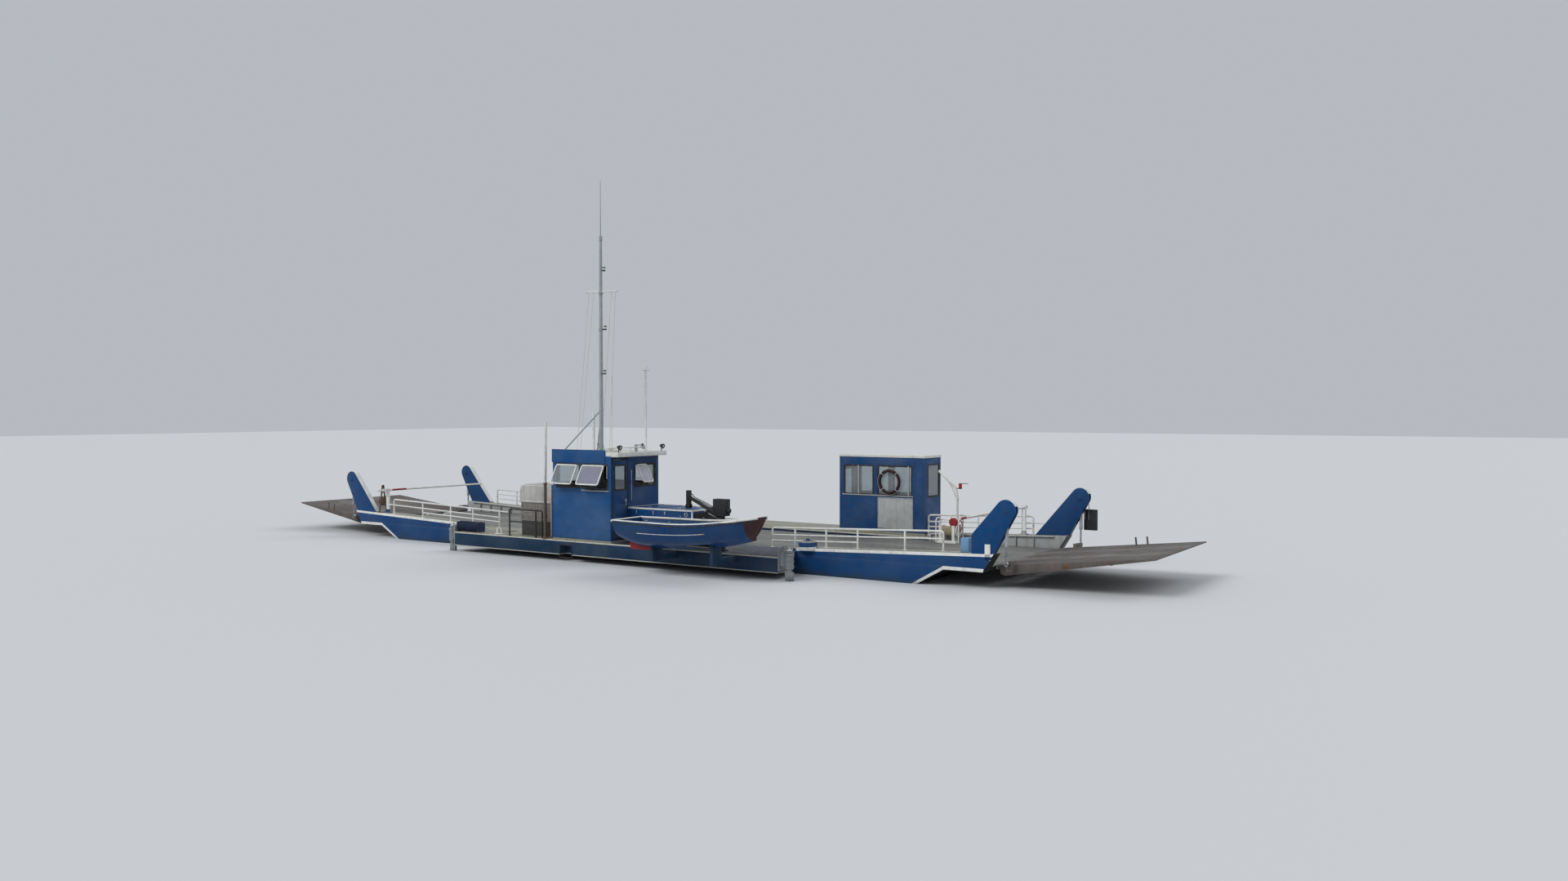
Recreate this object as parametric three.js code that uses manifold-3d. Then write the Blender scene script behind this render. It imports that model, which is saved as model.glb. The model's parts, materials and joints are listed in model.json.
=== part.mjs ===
// A small river car-and-passenger ferry, full size, in millimetres.
// +X runs along the hull to the end nearer the viewer, -Y is the wheelhouse side, +Z is up.
// The origin is amidships at the waterline.
import * as THREE from "three";
import { mergeVertices } from "three/addons/utils/BufferGeometryUtils.js";
import Module from "manifold-3d";

const wasm = await Module();
wasm.setup();

// Driving dimensions
const FIT = 0.3; // gap between two steel pieces that rest on each other
const HULL = { halfLength: 11650, halfBeam: 2700, deck: 500, draft: 600 };
const BULWARK = { inner: 2250, start: 6000, low: 660, high: 860 };
const STRIP = { top: 600, end: 5990 };
const SPONSON = { outer: 4100, top: 600, bottom: 180 };
const SPONSON_NEAR = { left: -5250, right: 6440 };
const SPONSON_FAR = { left: -6500, right: 7500 };
const FAR_RIGHT_START = 7520;

const RAMP = { axisX: 11500, axisZ: 450, rest: 6, length: 3880, halfWidth: 2200, top: 90, plate: 30 };
const RUNNING = 0.8; // radial room round a pin that a piece turns on
const BORE_SIDES = 24;
const KNUCKLE = { radius: 50, pin: 30, width: 200, gap: 10 };
const LUG = { u: 450, v: 130, inner: 2200, outer: 2480, pin: 22, pinEnd: 2612 };
const CYLINDER = { x: 11930, z: 1880, y: 2570, body: 44, bodyLength: 780, rod: 24, eyeBore: 34, eye: 52, pin: 24 };
const WING = { inner: 2480, outer: 2660, slotInner: 2515, slotOuter: 2625, heel: 10660, toe: 11635 };
const LOBE = { x: 11930, z: 1920, radius: 250 };

const HOUSE = { left: -1220, right: 940, near: -4080, far: -2000, floor: 600, sill: 2200, head: 2840, roof: 3000 };
const CABIN = { left: 4400, right: 7280, near: 2450, far: 3500, floor: 600, head: 2620, roof: 2890 };
const WALL = 40;
const HINGE = { out: 16, pin: 8, height: 60 };
const PIPE = 25; // radius of a railing pipe
const BOAT = { stern: 2250, bow: 6640, y: -4950, beam: 1500, keel: 700, sheer: 1420, wall: 35 };
const LEG = { y: -3980, column: 75, shaft: 20, gearcase: -450 };

const PAINT = {
  blue: [0x1d4488, 0.45],
  boardBlue: [0x00508a, 0.4],
  white: [0xe6e6df, 0.5],
  cream: [0xbdb79d, 0.7],
  steel: [0x77706a, 0.75],
  castGrey: [0x7f8483, 0.6],
  dark: [0x2a2a2c, 0.6],
  chrome: [0xc9cdd0, 0.2],
  bronze: [0xa6803c, 0.35],
  boatBlue: [0x0a4f8c, 0.4],
  red: [0x8c1f22, 0.55],
};

function material(name) {
  const [color, roughness] = PAINT[name];
  const metalness = name === "chrome" || name === "bronze" ? 1 : 0.1;
  return new THREE.MeshStandardMaterial({ color, roughness, metalness });
}

// Solids: a three.js geometry becomes a manifold solid for cutting and joining
function solid(geometry) {
  const bare = geometry.index ? geometry.toNonIndexed() : geometry.clone();
  bare.deleteAttribute("normal");
  bare.deleteAttribute("uv");
  const merged = mergeVertices(bare, 1e-3);
  return new wasm.Manifold(
    new wasm.Mesh({
      numProp: 3,
      vertProperties: merged.attributes.position.array,
      triVerts: new Uint32Array(merged.index.array),
    }),
  );
}

function join(...solids) {
  return solids.flat().reduce((whole, next) => whole.add(next));
}

function cut(body, ...tools) {
  return tools.flat().reduce((left, tool) => left.subtract(tool), body);
}

function geometryOf(body) {
  const mesh = body.getMesh();
  const geometry = new THREE.BufferGeometry();
  geometry.setAttribute("position", new THREE.BufferAttribute(mesh.vertProperties, 3));
  geometry.setIndex(new THREE.BufferAttribute(mesh.triVerts, 1));
  geometry.computeVertexNormals();
  return geometry;
}

// A box by its low and high limits along X, Y and Z
function box([x0, x1], [y0, y1], [z0, z1]) {
  const geometry = new THREE.BoxGeometry(x1 - x0, y1 - y0, z1 - z0);
  geometry.translate((x0 + x1) / 2, (y0 + y1) / 2, (z0 + z1) / 2);
  return solid(geometry);
}

// A side profile in X and Z, carried across from y0 to y1
function acrossY(shape, y0, y1, curveSegments = 8) {
  const geometry = new THREE.ExtrudeGeometry(shape, { depth: y1 - y0, bevelEnabled: false, curveSegments });
  geometry.applyMatrix4(
    new THREE.Matrix4().makeBasis(
      new THREE.Vector3(1, 0, 0),
      new THREE.Vector3(0, 0, 1),
      new THREE.Vector3(0, -1, 0),
    ),
  );
  geometry.translate(0, y1, 0);
  return solid(geometry);
}

function outline(points) {
  return new THREE.Shape(points.map(([x, z]) => new THREE.Vector2(x, z)));
}

// A plan outline in X and Y, carried up from z0 to z1
function upZ(shape, z0, z1) {
  const geometry = new THREE.ExtrudeGeometry(shape, { depth: z1 - z0, bevelEnabled: false });
  geometry.translate(0, 0, z0);
  return solid(geometry);
}

// A round bar between two points
function bar(from, to, radius, sides = 8, endRadius = radius) {
  const start = new THREE.Vector3(...from);
  const end = new THREE.Vector3(...to);
  const along = end.clone().sub(start);
  const geometry = new THREE.CylinderGeometry(endRadius, radius, along.length(), sides);
  geometry.applyQuaternion(
    new THREE.Quaternion().setFromUnitVectors(new THREE.Vector3(0, 1, 0), along.normalize()),
  );
  const middle = start.add(end).multiplyScalar(0.5);
  geometry.translate(middle.x, middle.y, middle.z);
  return solid(geometry);
}

function ball(centre, radius, sides = 8) {
  const geometry = new THREE.SphereGeometry(radius, sides, Math.max(4, sides / 2));
  geometry.translate(...centre);
  return solid(geometry);
}

// A bent pipe swept along a smooth line through its points
function pipe(points, radius, sides = 8, steps = 8) {
  const path = new THREE.CatmullRomCurve3(
    points.map((point) => new THREE.Vector3(...point)),
    false,
    "catmullrom",
    0.25,
  );
  const section = new THREE.Shape();
  section.absarc(0, 0, radius, 0, Math.PI * 2, false);
  const options = { extrudePath: path, steps, bevelEnabled: false, curveSegments: sides / 2 };
  return solid(new THREE.ExtrudeGeometry(section, options));
}

const ferry = new THREE.Group();

function piece(name, body, paint, group = ferry) {
  const mesh = new THREE.Mesh(geometryOf(body), material(paint));
  mesh.name = name;
  group.add(mesh);
}

function pivot(x, y, z, parent = ferry) {
  const group = new THREE.Group();
  group.position.set(x, y, z);
  parent.add(group);
  return group;
}

// The four corners: end +1 is the right end, side -1 is the near side
const CORNERS = [
  { name: "near_left", end: -1, side: -1 },
  { name: "near_right", end: 1, side: -1 },
  { name: "far_left", end: -1, side: 1 },
  { name: "far_right", end: 1, side: 1 },
];

// Height of the bulwark's top at a distance from amidships
function bulwarkTop(x) {
  const { start, low, high } = BULWARK;
  return low + ((Math.abs(x) - start) / (HULL.halfLength - start)) * (high - low);
}

function spanY(side, inner, outer) {
  return side < 0 ? [-outer, -inner] : [inner, outer];
}

function spanX(end, inner, outer) {
  return end < 0 ? [-outer, -inner] : [inner, outer];
}

// Hull: a flat-bottomed pontoon, raked under both ends, with the hinge knuckles of the ramps
const RAKE = [
  // x from amidships, z
  [11400, HULL.deck],
  [11380, 410],
  [10340, 410],
  [9610, 0],
  [8540, -HULL.draft],
];

const KNUCKLES = [-1800, -100, 1600]; // Y of each hull knuckle, with a ramp knuckle beside it

function hullHinge(end) {
  const x = end * RAMP.axisX;
  const parts = KNUCKLES.map((place) => place * end).map((y) => [
    bar([x, y - KNUCKLE.width / 2, RAMP.axisZ], [x, y + KNUCKLE.width / 2, RAMP.axisZ], KNUCKLE.radius, 10),
    box(spanX(end, 11300, RAMP.axisX), [y - KNUCKLE.width / 2, y + KNUCKLE.width / 2], [415, 470]),
  ]);
  const pinEnd = 2050;
  return join(parts.flat(), bar([x, -pinEnd, RAMP.axisZ], [x, pinEnd, RAMP.axisZ], KNUCKLE.pin, 12));
}

function hull() {
  const left = RAKE.map(([x, z]) => [-x, z]).reverse();
  const body = acrossY(outline([...RAKE, ...left].reverse()), -HULL.halfBeam, HULL.halfBeam);
  return join(body, hullHinge(1), hullHinge(-1));
}
piece("hull_pontoon", hull(), "blue");

// Bulwarks: deep boxes on the deck edge at each corner
function bulwark({ end, side }) {
  const start = end > 0 && side > 0 ? FAR_RIGHT_START : BULWARK.start;
  const profile = outline([
    [end * start, HULL.deck],
    [end * 11425, HULL.deck],
    [end * HULL.halfLength, bulwarkTop(HULL.halfLength)],
    [end * start, bulwarkTop(start)],
  ]);
  const [y0, y1] = spanY(side, BULWARK.inner, HULL.halfBeam);
  return acrossY(profile, y0, y1);
}

// An eight-sided winch housing that overhangs the hull's near side
const WINCH = { x: 6440, y: -2660, radius: 249, low: 640, high: 850, knob: 925 };

function winchHousing({ x, y, radius, low, high, knob }) {
  const shell = bar([0, 0, low], [0, 0, high], radius, 8).rotate([0, 0, 22.5]).translate([x, y, 0]);
  const crown = bar([x, y, high - 10], [x, y, high + 30], radius * 0.7, 12, radius * 0.5);
  return join(shell, crown, bar([x, y, high], [x, y, knob], 45, 10));
}

// Cuts the foot of a piece to the sloping top of the bulwark below it
function seated(body, end, start = BULWARK.start) {
  const ground = outline([
    [end * start, 0],
    [end * HULL.halfLength, 0],
    [end * HULL.halfLength, bulwarkTop(HULL.halfLength) + FIT],
    [end * start, bulwarkTop(start) + FIT],
  ]);
  return cut(body, acrossY(ground, -3500, 3500));
}

// Barriers: a boom that lifts hangs in a forked stand on the bulwark, across each end of the deck
const BARRIER = { x: 10350, y: 2420, z: 1575, reach: 4200, boom: 30, hub: 48, gap: 42, fork: 16, pin: 12 };

function barrierStand(end) {
  const { x, y, z, gap, fork, pin } = BARRIER;
  const foot = bulwarkTop(x) - 10;
  const cheeks = [x - gap - fork, x + gap].map((x0) => box([x0, x0 + fork], [y - 35, y + 35], [foot, z + 60]));
  const web = box([x - gap - 5, x + gap + 5], [y - 20, y + 20], [foot, 1330]);
  const plate = box([x - 110, x + 110], [y - 90, y + 90], [foot, foot + 30]);
  const axle = bar([x - gap - fork, y, z], [x + gap + fork, y, z], pin, 12);
  return placed(join(cheeks, web, plate, axle), end, end);
}

function barrierBoom(end) {
  const { reach, boom, hub, gap, pin } = BARRIER;
  const half = gap - 6;
  const eye = bar([-half, 0, 0], [half, 0, 0], hub, 16);
  const pole = bar([0, 0, 0], [0, -end * reach, 0], boom, 10);
  const weight = box([-half, half], spanX(end, 20, 210), [-45, 45]);
  return cut(join(eye, pole, weight), bar([-60, 0, 0], [60, 0, 0], pin + RUNNING, BORE_SIDES));
}

const STANDING = {
  near_left: () => barrierStand(-1),
  near_right: () => winchHousing(WINCH),
  far_right: () => barrierStand(1),
};
for (const corner of CORNERS) {
  const gear = STANDING[corner.name];
  piece("bulwark_" + corner.name, gear ? join(bulwark(corner), gear()) : bulwark(corner), "blue");
}
for (const end of [1, -1]) {
  const group = pivot(end * BARRIER.x, end * BARRIER.y, BARRIER.z);
  piece(end < 0 ? "barrier_left" : "barrier_right", barrierBoom(end), "white", group);
}

// Sponsons: side platforms above the water, with the raised strip along the deck edge
function sponson(side, { left, right }, stripRight) {
  const [y0, y1] = spanY(side, HULL.halfBeam, SPONSON.outer);
  const [s0, s1] = spanY(side, BULWARK.inner, HULL.halfBeam);
  const platform = box([left, right], [y0, y1], [SPONSON.bottom, SPONSON.top]);
  const strip = box([-STRIP.end, stripRight], [s0, s1], [HULL.deck, STRIP.top]);
  return { platform, strip };
}

// The two arms that the dinghy sits in, and how high each one's seat reaches before it is cut to the boat
const CHOCKS = [
  { x: 3250, high: 780 },
  { x: 5150, high: 900 },
];

// A covered hose reel that lies along the deck at the near sponson's left end
function hoseReel() {
  const [x0, x1, y, z] = [-5200, -4320, -3900, 740];
  const cheeks = [x0, x1 - 30].map((x) => box([x, x + 30], [y - 150, y + 150], [SPONSON.top - 10, 900]));
  const drum = bar([x0 + 10, y, z + 15], [x1 - 10, y, z + 15], 130, 16);
  return join(cheeks, drum, box([x0 + 60, x1 - 60], [y - 60, y + 60], [SPONSON.top - 10, z]));
}

// The near platform's plan: its inner corners are cut back to the hull
function nearPlatform({ left, right }) {
  const { outer, top, bottom } = SPONSON;
  const plan = outline([
    [left, -outer],
    [right, -outer],
    [right, -3750],
    [right - 360, -HULL.halfBeam],
    [left + 360, -HULL.halfBeam],
    [left, -3750],
  ]);
  return upZ(plan, bottom, top);
}

function nearSponson() {
  const platform = nearPlatform(SPONSON_NEAR);
  const { strip } = sponson(-1, SPONSON_NEAR, STRIP.end);
  const recess = box([-940, -500], [-SPONSON.outer - 10, -SPONSON.outer + 250], [100, 450]);
  const chocks = CHOCKS.map(({ x, high }) => {
    const arm = box([x - 40, x + 40], [-5150, -SPONSON.outer + 50], [380, 560]);
    const seat = box([x - 40, x + 40], [-5150, BOAT.y + 200], [540, high]);
    return cut(join(arm, seat), boatShape(-FIT, 0));
  });
  return join(cut(platform, recess), strip, chocks, hoseReel());
}
piece("sponson_near", nearSponson(), "blue");

function farSponson() {
  const { platform, strip } = sponson(1, SPONSON_FAR, SPONSON_FAR.right);
  return join(platform, strip);
}
piece("sponson_far", farSponson(), "blue");

// Ramp gear: leaning blue wings over the hull's corners, each with a slot for a lifting cylinder.
// The near right one's heel is cut upright
function wing({ name, end, side }) {
  const upper = THREE.MathUtils.degToRad(139);
  const lower = THREE.MathUtils.degToRad(-27.5);
  const upright = name === "near_right";
  const heel = upright ? 11060 : WING.heel;
  const shape = new THREE.Shape();
  shape.moveTo(heel, bulwarkTop(heel) + FIT);
  shape.lineTo(WING.toe, bulwarkTop(WING.toe) + FIT);
  shape.absarc(LOBE.x, LOBE.z, LOBE.radius, lower, upper, false);
  if (upright) shape.lineTo(heel, 1300);
  const [y0, y1] = spanY(1, WING.inner, WING.outer);
  const body = acrossY(shape, y0, y1, 12);
  const slot = box([11790, 12400], [WING.slotInner, WING.slotOuter], [900, 2000]);
  const pin = bar([CYLINDER.x, y0 + 20, CYLINDER.z], [CYLINDER.x, y1 - 20, CYLINDER.z], CYLINDER.pin, 12);
  return placed(join(cut(body, slot), pin), end, side);
}

// A solid made for the far right corner, mirrored to another corner
function placed(body, end, side) {
  const atEnd = end < 0 ? body.mirror([1, 0, 0]) : body;
  return side < 0 ? atEnd.mirror([0, 1, 0]) : atEnd;
}

for (const corner of CORNERS) piece("wing_" + corner.name, wing(corner), "blue");

// Ramps: hinged steel flaps. Local u runs outwards from the hinge axis and v up
function rampBody() {
  const { length, halfWidth, top, plate } = RAMP;
  const deck = box([10, length], [-halfWidth, halfWidth], [top - plate, top]);
  const girder = outline([
    [110, top - 5],
    [110, -120],
    [200, -170],
    [900, -120],
    [length - 10, top - plate - 5],
    [length - 10, top - 5],
  ]);
  const girderYs = [-halfWidth, -1100, 0, 1100 - 60, halfWidth - 60];
  const girders = girderYs.map((y) => acrossY(girder, y, y + 60));
  const crossX = [1000, 1900, 2800];
  const crossBeams = crossX.map((u) => box([u, u + 60], [-halfWidth + 10, halfWidth - 10], [top - 110, top - 5]));
  const ramps = KNUCKLES.map((y) => {
    const centre = y + KNUCKLE.width + KNUCKLE.gap;
    const reach = [centre - KNUCKLE.width / 2, centre + KNUCKLE.width / 2];
    const barrel = bar([0, reach[0], 0], [0, reach[1], 0], KNUCKLE.radius, 10);
    const tongue = box([0, 130], reach, [20, top - plate + 5]);
    const brace = box([110, 130], reach, [-40, top - plate + 5]);
    return join(barrel, tongue, brace);
  });
  const pinHole = bar([0, -halfWidth, 0], [0, halfWidth, 0], KNUCKLE.pin + RUNNING, BORE_SIDES);
  const lugs = [-1, 1].map((side) => {
    const arm = box([LUG.u - 70, LUG.u + 70], spanY(side, LUG.inner - 50, LUG.outer), [-60, LUG.v + 50]);
    const pin = bar([LUG.u, side * (LUG.outer - 30), LUG.v], [LUG.u, side * LUG.pinEnd, LUG.v], LUG.pin, 12);
    return join(arm, pin);
  });
  const stubs = [2100, 2400].map((u) => bar([u, halfWidth - 60, top - 20], [u, halfWidth - 60, top + 200], 24, 8));
  return join(cut(join(deck, girders, crossBeams, ramps), pinHole), lugs, stubs);
}

function ramp(end) {
  const group = pivot(end * RAMP.axisX, 0, RAMP.axisZ);
  if (end < 0) group.rotation.z = Math.PI;
  const tilted = new THREE.Group();
  tilted.rotation.y = -THREE.MathUtils.degToRad(RAMP.rest);
  group.add(tilted);
  piece(end < 0 ? "ramp_left" : "ramp_right", rampBody(), "steel", tilted);
}
ramp(1);
ramp(-1);

// Lifting cylinders: each hangs from the wing's pin and its rod's eye goes round the ramp's pin
const rest = THREE.MathUtils.degToRad(RAMP.rest);
const EYE_LEAD = 5; // the rod's eye sits this far inboard of its pin, half of what it drifts at the limits
const ROD_END = {
  x: RAMP.axisX + LUG.u * Math.cos(rest) - LUG.v * Math.sin(rest) - EYE_LEAD,
  z: RAMP.axisZ + LUG.u * Math.sin(rest) + LUG.v * Math.cos(rest),
};

function eye(centre, outer, bore, halfWidth, y) {
  const [x, z] = centre;
  const ring = bar([x, y - halfWidth, z], [x, y + halfWidth, z], outer, 16);
  return { ring, hole: bar([x, y - halfWidth - 5, z], [x, y + halfWidth + 5, z], bore, BORE_SIDES) };
}

function alongCylinder(distance) {
  const length = Math.hypot(ROD_END.x - CYLINDER.x, ROD_END.z - CYLINDER.z);
  return [
    CYLINDER.x + ((ROD_END.x - CYLINDER.x) * distance) / length,
    CYLINDER.y,
    CYLINDER.z + ((ROD_END.z - CYLINDER.z) * distance) / length,
  ];
}

const STROKE = { rodStart: 420, rodEnd: Math.hypot(ROD_END.x - CYLINDER.x, ROD_END.z - CYLINDER.z) };

function cylinderBarrel({ end, side }) {
  const top = eye([CYLINDER.x, CYLINDER.z], 60, CYLINDER.pin + RUNNING, 46, CYLINDER.y);
  const barrel = bar(alongCylinder(30), alongCylinder(30 + CYLINDER.bodyLength), CYLINDER.body, 12);
  const gland = bar(alongCylinder(770), alongCylinder(840), CYLINDER.body + 5, 12);
  const bore = bar(alongCylinder(STROKE.rodStart - 150), alongCylinder(900), CYLINDER.rod + 1, 12);
  return placed(cut(join(top.ring, barrel, gland), top.hole, bore), end, side);
}

function cylinderRod({ end, side }) {
  const foot = eye([ROD_END.x, ROD_END.z], CYLINDER.eye, CYLINDER.eyeBore, 35, CYLINDER.y);
  const rod = bar(alongCylinder(STROKE.rodStart), alongCylinder(STROKE.rodEnd - 10), CYLINDER.rod, 12);
  return placed(cut(join(foot.ring, rod), foot.hole), end, side);
}

for (const corner of CORNERS) {
  piece("cylinder_barrel_" + corner.name, cylinderBarrel(corner), "dark");
  piece("cylinder_rod_" + corner.name, cylinderRod(corner), "chrome");
}

// Railings: pipe rails on posts that follow the bulwark's sheer
const RAIL_RISE = 500;

// Height that the rails and their posts stand on: the bulwark's sloping top, or the strip inboard of it
function railGround(x, bulwarkStart) {
  return Math.abs(x) < bulwarkStart ? STRIP.top : bulwarkTop(x);
}

function railing({ y, posts, rails, bulwarkStart }) {
  const top = (x) => bulwarkTop(x) + RAIL_RISE;
  const uprights = posts.map((x) => {
    const foot = railGround(x, bulwarkStart) + FIT;
    return bar([x, y, foot], [x, y, top(x)], PIPE, 6);
  });
  const level = rails.map(([x0, x1, drop]) =>
    bar([x0, y, top(x0) - drop], [x1, y, top(x1) - drop], PIPE * (drop ? 0.8 : 1), 6),
  );
  return seated(join(uprights, level), Math.sign(posts[0]), bulwarkStart);
}

// Where each run stands, its posts, and its rails: from, to and drop below the top rail
const RAILINGS = {
  near_left: {
    y: -2600,
    bulwarkStart: BULWARK.start,
    posts: [-9830, -8420, -7100, -6080, -4900],
    rails: [
      [-9830, -4520, 0],
      [-10180, -4900, 190],
      [-8420, -4900, 330],
    ],
  },
  near_right: {
    y: -2360,
    bulwarkStart: BULWARK.start,
    posts: [5140, 5860, 6820, 7760, 9120, 10180],
    rails: [
      [5140, 10180, 0],
      [5140, 10180, 190],
      [5140, 7760, 340],
    ],
  },
  far_left: {
    y: 2600,
    bulwarkStart: BULWARK.start,
    posts: [-10400, -9400, -8400, -7400, -6400],
    rails: [
      [-10400, -6400, 0],
      [-10400, -6400, 170],
      [-10400, -6400, 330],
    ],
  },
  far_right: {
    y: 2600,
    bulwarkStart: FAR_RIGHT_START,
    posts: [7330, 8050, 8900, 9750, 10560],
    rails: [
      [7330, 10560, 0],
      [7330, 10860, 190],
      [7330, 10560, 340],
    ],
  },
};
for (const [name, run] of Object.entries(RAILINGS)) piece("railing_" + name, railing(run), "white");

// Wheelhouse: steel panels with their windows cut, on the near sponson
function windowTool(axis, a0, a1, z0, z1, at) {
  const depth = [at - 100, at + 100];
  return axis === "x" ? box([a0, a1], depth, [z0, z1]) : box(depth, [a0, a1], [z0, z1]);
}

const houseZ = [HOUSE.floor + 60 + FIT, HOUSE.roof - FIT];
piece(
  "wheelhouse_floor",
  box([HOUSE.left, HOUSE.right], [HOUSE.near, HOUSE.far], [HOUSE.floor + FIT, HOUSE.floor + 60]),
  "cream",
);

// Two top-hung panes share the near wall's window band
const NEAR_PANES = [
  [-1090, -205],
  [-150, 840],
];
const BAND = { low: 2100, high: 2760 };

function nearWall() {
  const wall = box([HOUSE.left, HOUSE.right], [HOUSE.near, HOUSE.near + WALL], houseZ);
  const panes = NEAR_PANES.map(([x0, x1]) => windowTool("x", x0, x1, BAND.low, BAND.high, HOUSE.near));
  const board = box([HOUSE.left, HOUSE.right + 10], [HOUSE.near - 20, HOUSE.near + 5], [HOUSE.floor + 70, 2020]);
  const plate = box([HOUSE.left - 20, 750], [HOUSE.near - 20, HOUSE.near + 5], [2800, 3170]);
  return join(cut(wall, panes), board, plate);
}
piece("wheelhouse_wall_near", nearWall(), "boardBlue");

function farWall() {
  const wall = box([HOUSE.left, HOUSE.right], [HOUSE.far - WALL, HOUSE.far], houseZ);
  const panes = [
    windowTool("x", -1060, -240, HOUSE.sill, HOUSE.head, HOUSE.far),
    windowTool("x", -40, 780, HOUSE.sill, HOUSE.head, HOUSE.far),
  ];
  return cut(wall, panes);
}
piece("wheelhouse_wall_far", farWall(), "blue");

const innerY = [HOUSE.near + WALL + FIT, HOUSE.far - WALL - FIT];
function leftWall() {
  const wall = box([HOUSE.left, HOUSE.left + WALL], innerY, houseZ);
  return cut(wall, windowTool("y", -3860, -2240, HOUSE.sill, HOUSE.head, HOUSE.left));
}
piece("wheelhouse_wall_left", leftWall(), "blue");

const DOOR = { y0: -3990, y1: -3380, z0: 720, z1: 2900, hinges: [1000, 2500] };
function rightWall() {
  const wall = box([HOUSE.right - WALL, HOUSE.right], innerY, houseZ);
  const pane = windowTool("y", -3050, -2130, BAND.low + 30, BAND.high, HOUSE.right);
  const doorway = windowTool("y", DOOR.y0 - 6, DOOR.y1 + 6, DOOR.z0 - 6, DOOR.z1 + 6, HOUSE.right);
  const pins = hingePins(1, HOUSE.right + HINGE.out, DOOR.y0, DOOR.hinges);
  return join(cut(wall, pane, doorway), pins);
}
piece("wheelhouse_wall_right", rightWall(), "blue");

function roof() {
  const x = [HOUSE.left - 30, HOUSE.right + 260];
  const y = [HOUSE.near + 10, HOUSE.far + 60];
  const slab = box(x, y, [HOUSE.roof, HOUSE.roof + 50]);
  const rim = cut(
    box(x, y, [HOUSE.roof + 40, HOUSE.roof + 110]),
    box([x[0] + 40, x[1] - 40], [y[0] + 40, y[1] - 40], [HOUSE.roof + 30, HOUSE.roof + 200]),
  );
  const plane = HOUSE.roof + 20;
  const posts = [
    bar([-640, -3000, plane], [-640, -3000, 4200], 45, 8),
    bar([40, -3000, plane], [40, -3000, 5300], 20, 8),
    bar([830, -2420, plane], [830, -2420, 5600], 28, 8),
    bar([830, -2560, 5420], [830, -2280, 5420], 18, 6),
  ];
  return join(slab, rim, posts);
}
piece("wheelhouse_roof", roof(), "white");

// A lever on the outer face of a door leaf, which faces +X or -X
function leverHandle(face, y, z) {
  const spindle = bar([-face * (HINGE.out + 10), y, z], [face * 45, y, z], 12);
  return join(spindle, bar([face * 45, y + 12, z], [face * 45, y - 110, z], 12));
}

// Door hinges: the axis stands HINGE.out in front of the leaf's outer face, at the leaf's edge
function hingeEyes(face, z) {
  const ring = bar([0, 0, z], [0, 0, z + HINGE.height], 16, 12);
  const strap = box(spanX(-face, 4, HINGE.out + 5), [0, 60], [z, z + HINGE.height]);
  return join(ring, strap);
}

function hingeHoles(heights) {
  return heights.map((z) => bar([0, 0, z - 5], [0, 0, z + HINGE.height + 5], HINGE.pin + RUNNING / 2, BORE_SIDES));
}

function hingePins(face, axisX, axisY, heights) {
  return heights.map((z) => {
    const reach = [z - 40, z + HINGE.height + 40];
    const pin = bar([axisX, axisY, reach[0]], [axisX, axisY, reach[1]], HINGE.pin, 12);
    const discs = [reach[0], reach[1] - 38].map((low) => {
      const disc = bar([axisX, axisY, low], [axisX, axisY, low + 38], 13, 12);
      const neckX = [axisX, axisX - face * (HINGE.out + 10)].sort((a, b) => a - b);
      return join(disc, box(neckX, [axisY - 34, axisY - 7], [low, low + 38]));
    });
    return join(pin, discs);
  });
}

function doorLeaf() {
  const width = DOOR.y1 - DOOR.y0;
  const leaf = box([-HINGE.out - WALL, -HINGE.out], [0, width], [DOOR.z0, DOOR.z1]);
  const pane = box([-200, 200], [75, width - 60], [2060, 2750]);
  const eyes = DOOR.hinges.map((z) => hingeEyes(1, z));
  const handle = leverHandle(1, width - 60, 1700);
  return cut(join(cut(leaf, pane), eyes, handle), hingeHoles(DOOR.hinges));
}
piece("wheelhouse_door", doorLeaf(), "blue", pivot(HOUSE.right + HINGE.out, DOOR.y0, 0));

function helm() {
  const desk = acrossY(
    outline([
      [-700, houseZ[0]],
      [-200, houseZ[0]],
      [-200, 1500],
      [-700, 1650],
    ]),
    HOUSE.near + WALL + 30,
    HOUSE.near + WALL + 480,
  );
  const seat = join(
    bar([-450, -2900, houseZ[0]], [-450, -2900, 1100], 45, 12),
    box([-680, -220], [-3110, -2690], [1080, 1180]),
    box([-680, -220], [-2730, -2660], [1150, 1750]),
  );
  const mat = box([-720, -180], [-3600, -2800], [houseZ[0], houseZ[0] + 20]);
  return join(desk, seat, mat);
}
piece("wheelhouse_console", helm(), "dark");

// Mast with its whip, yard and two stays, standing on the wheelhouse roof
function mast() {
  const [x, y] = [-350, -3000];
  const foot = HOUSE.roof + 50 + FIT;
  const pole = bar([x, y, foot], [x, y, 9200], 62, 12, 42);
  const whip = bar([x, y, 9190], [x, y, 10840], 16, 8, 8);
  const yard = bar([x - 560, y, 7690], [x + 620, y, 7660], 26, 8);
  const lamp = bar([x + 50, y, 6620], [x + 240, y, 6620], 50, 8);
  const stays = [-3800, -2300].map((end) => bar([x, y, 4280], [-1120, end, foot], 20, 6));
  const pads = [-3800, -2300].map((end) => box([-1165, -1085], [end - 40, end + 40], [foot, foot + 20]));
  const base = bar([x, y, foot], [x, y, foot + 60], 110, 12);
  const under = box([-1500, 500], [-4200, -1800], [foot - 200, foot]);
  return cut(join(pole, whip, yard, lamp, stays, pads, base), under);
}
piece("mast", mast(), "castGrey");

// Near side gear on the sponson
piece(
  "engine_casing",
  box([HOUSE.right + FIT, 3190], [-3350, -2050], [STRIP.top + FIT, 1560]),
  "blue",
);

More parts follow.
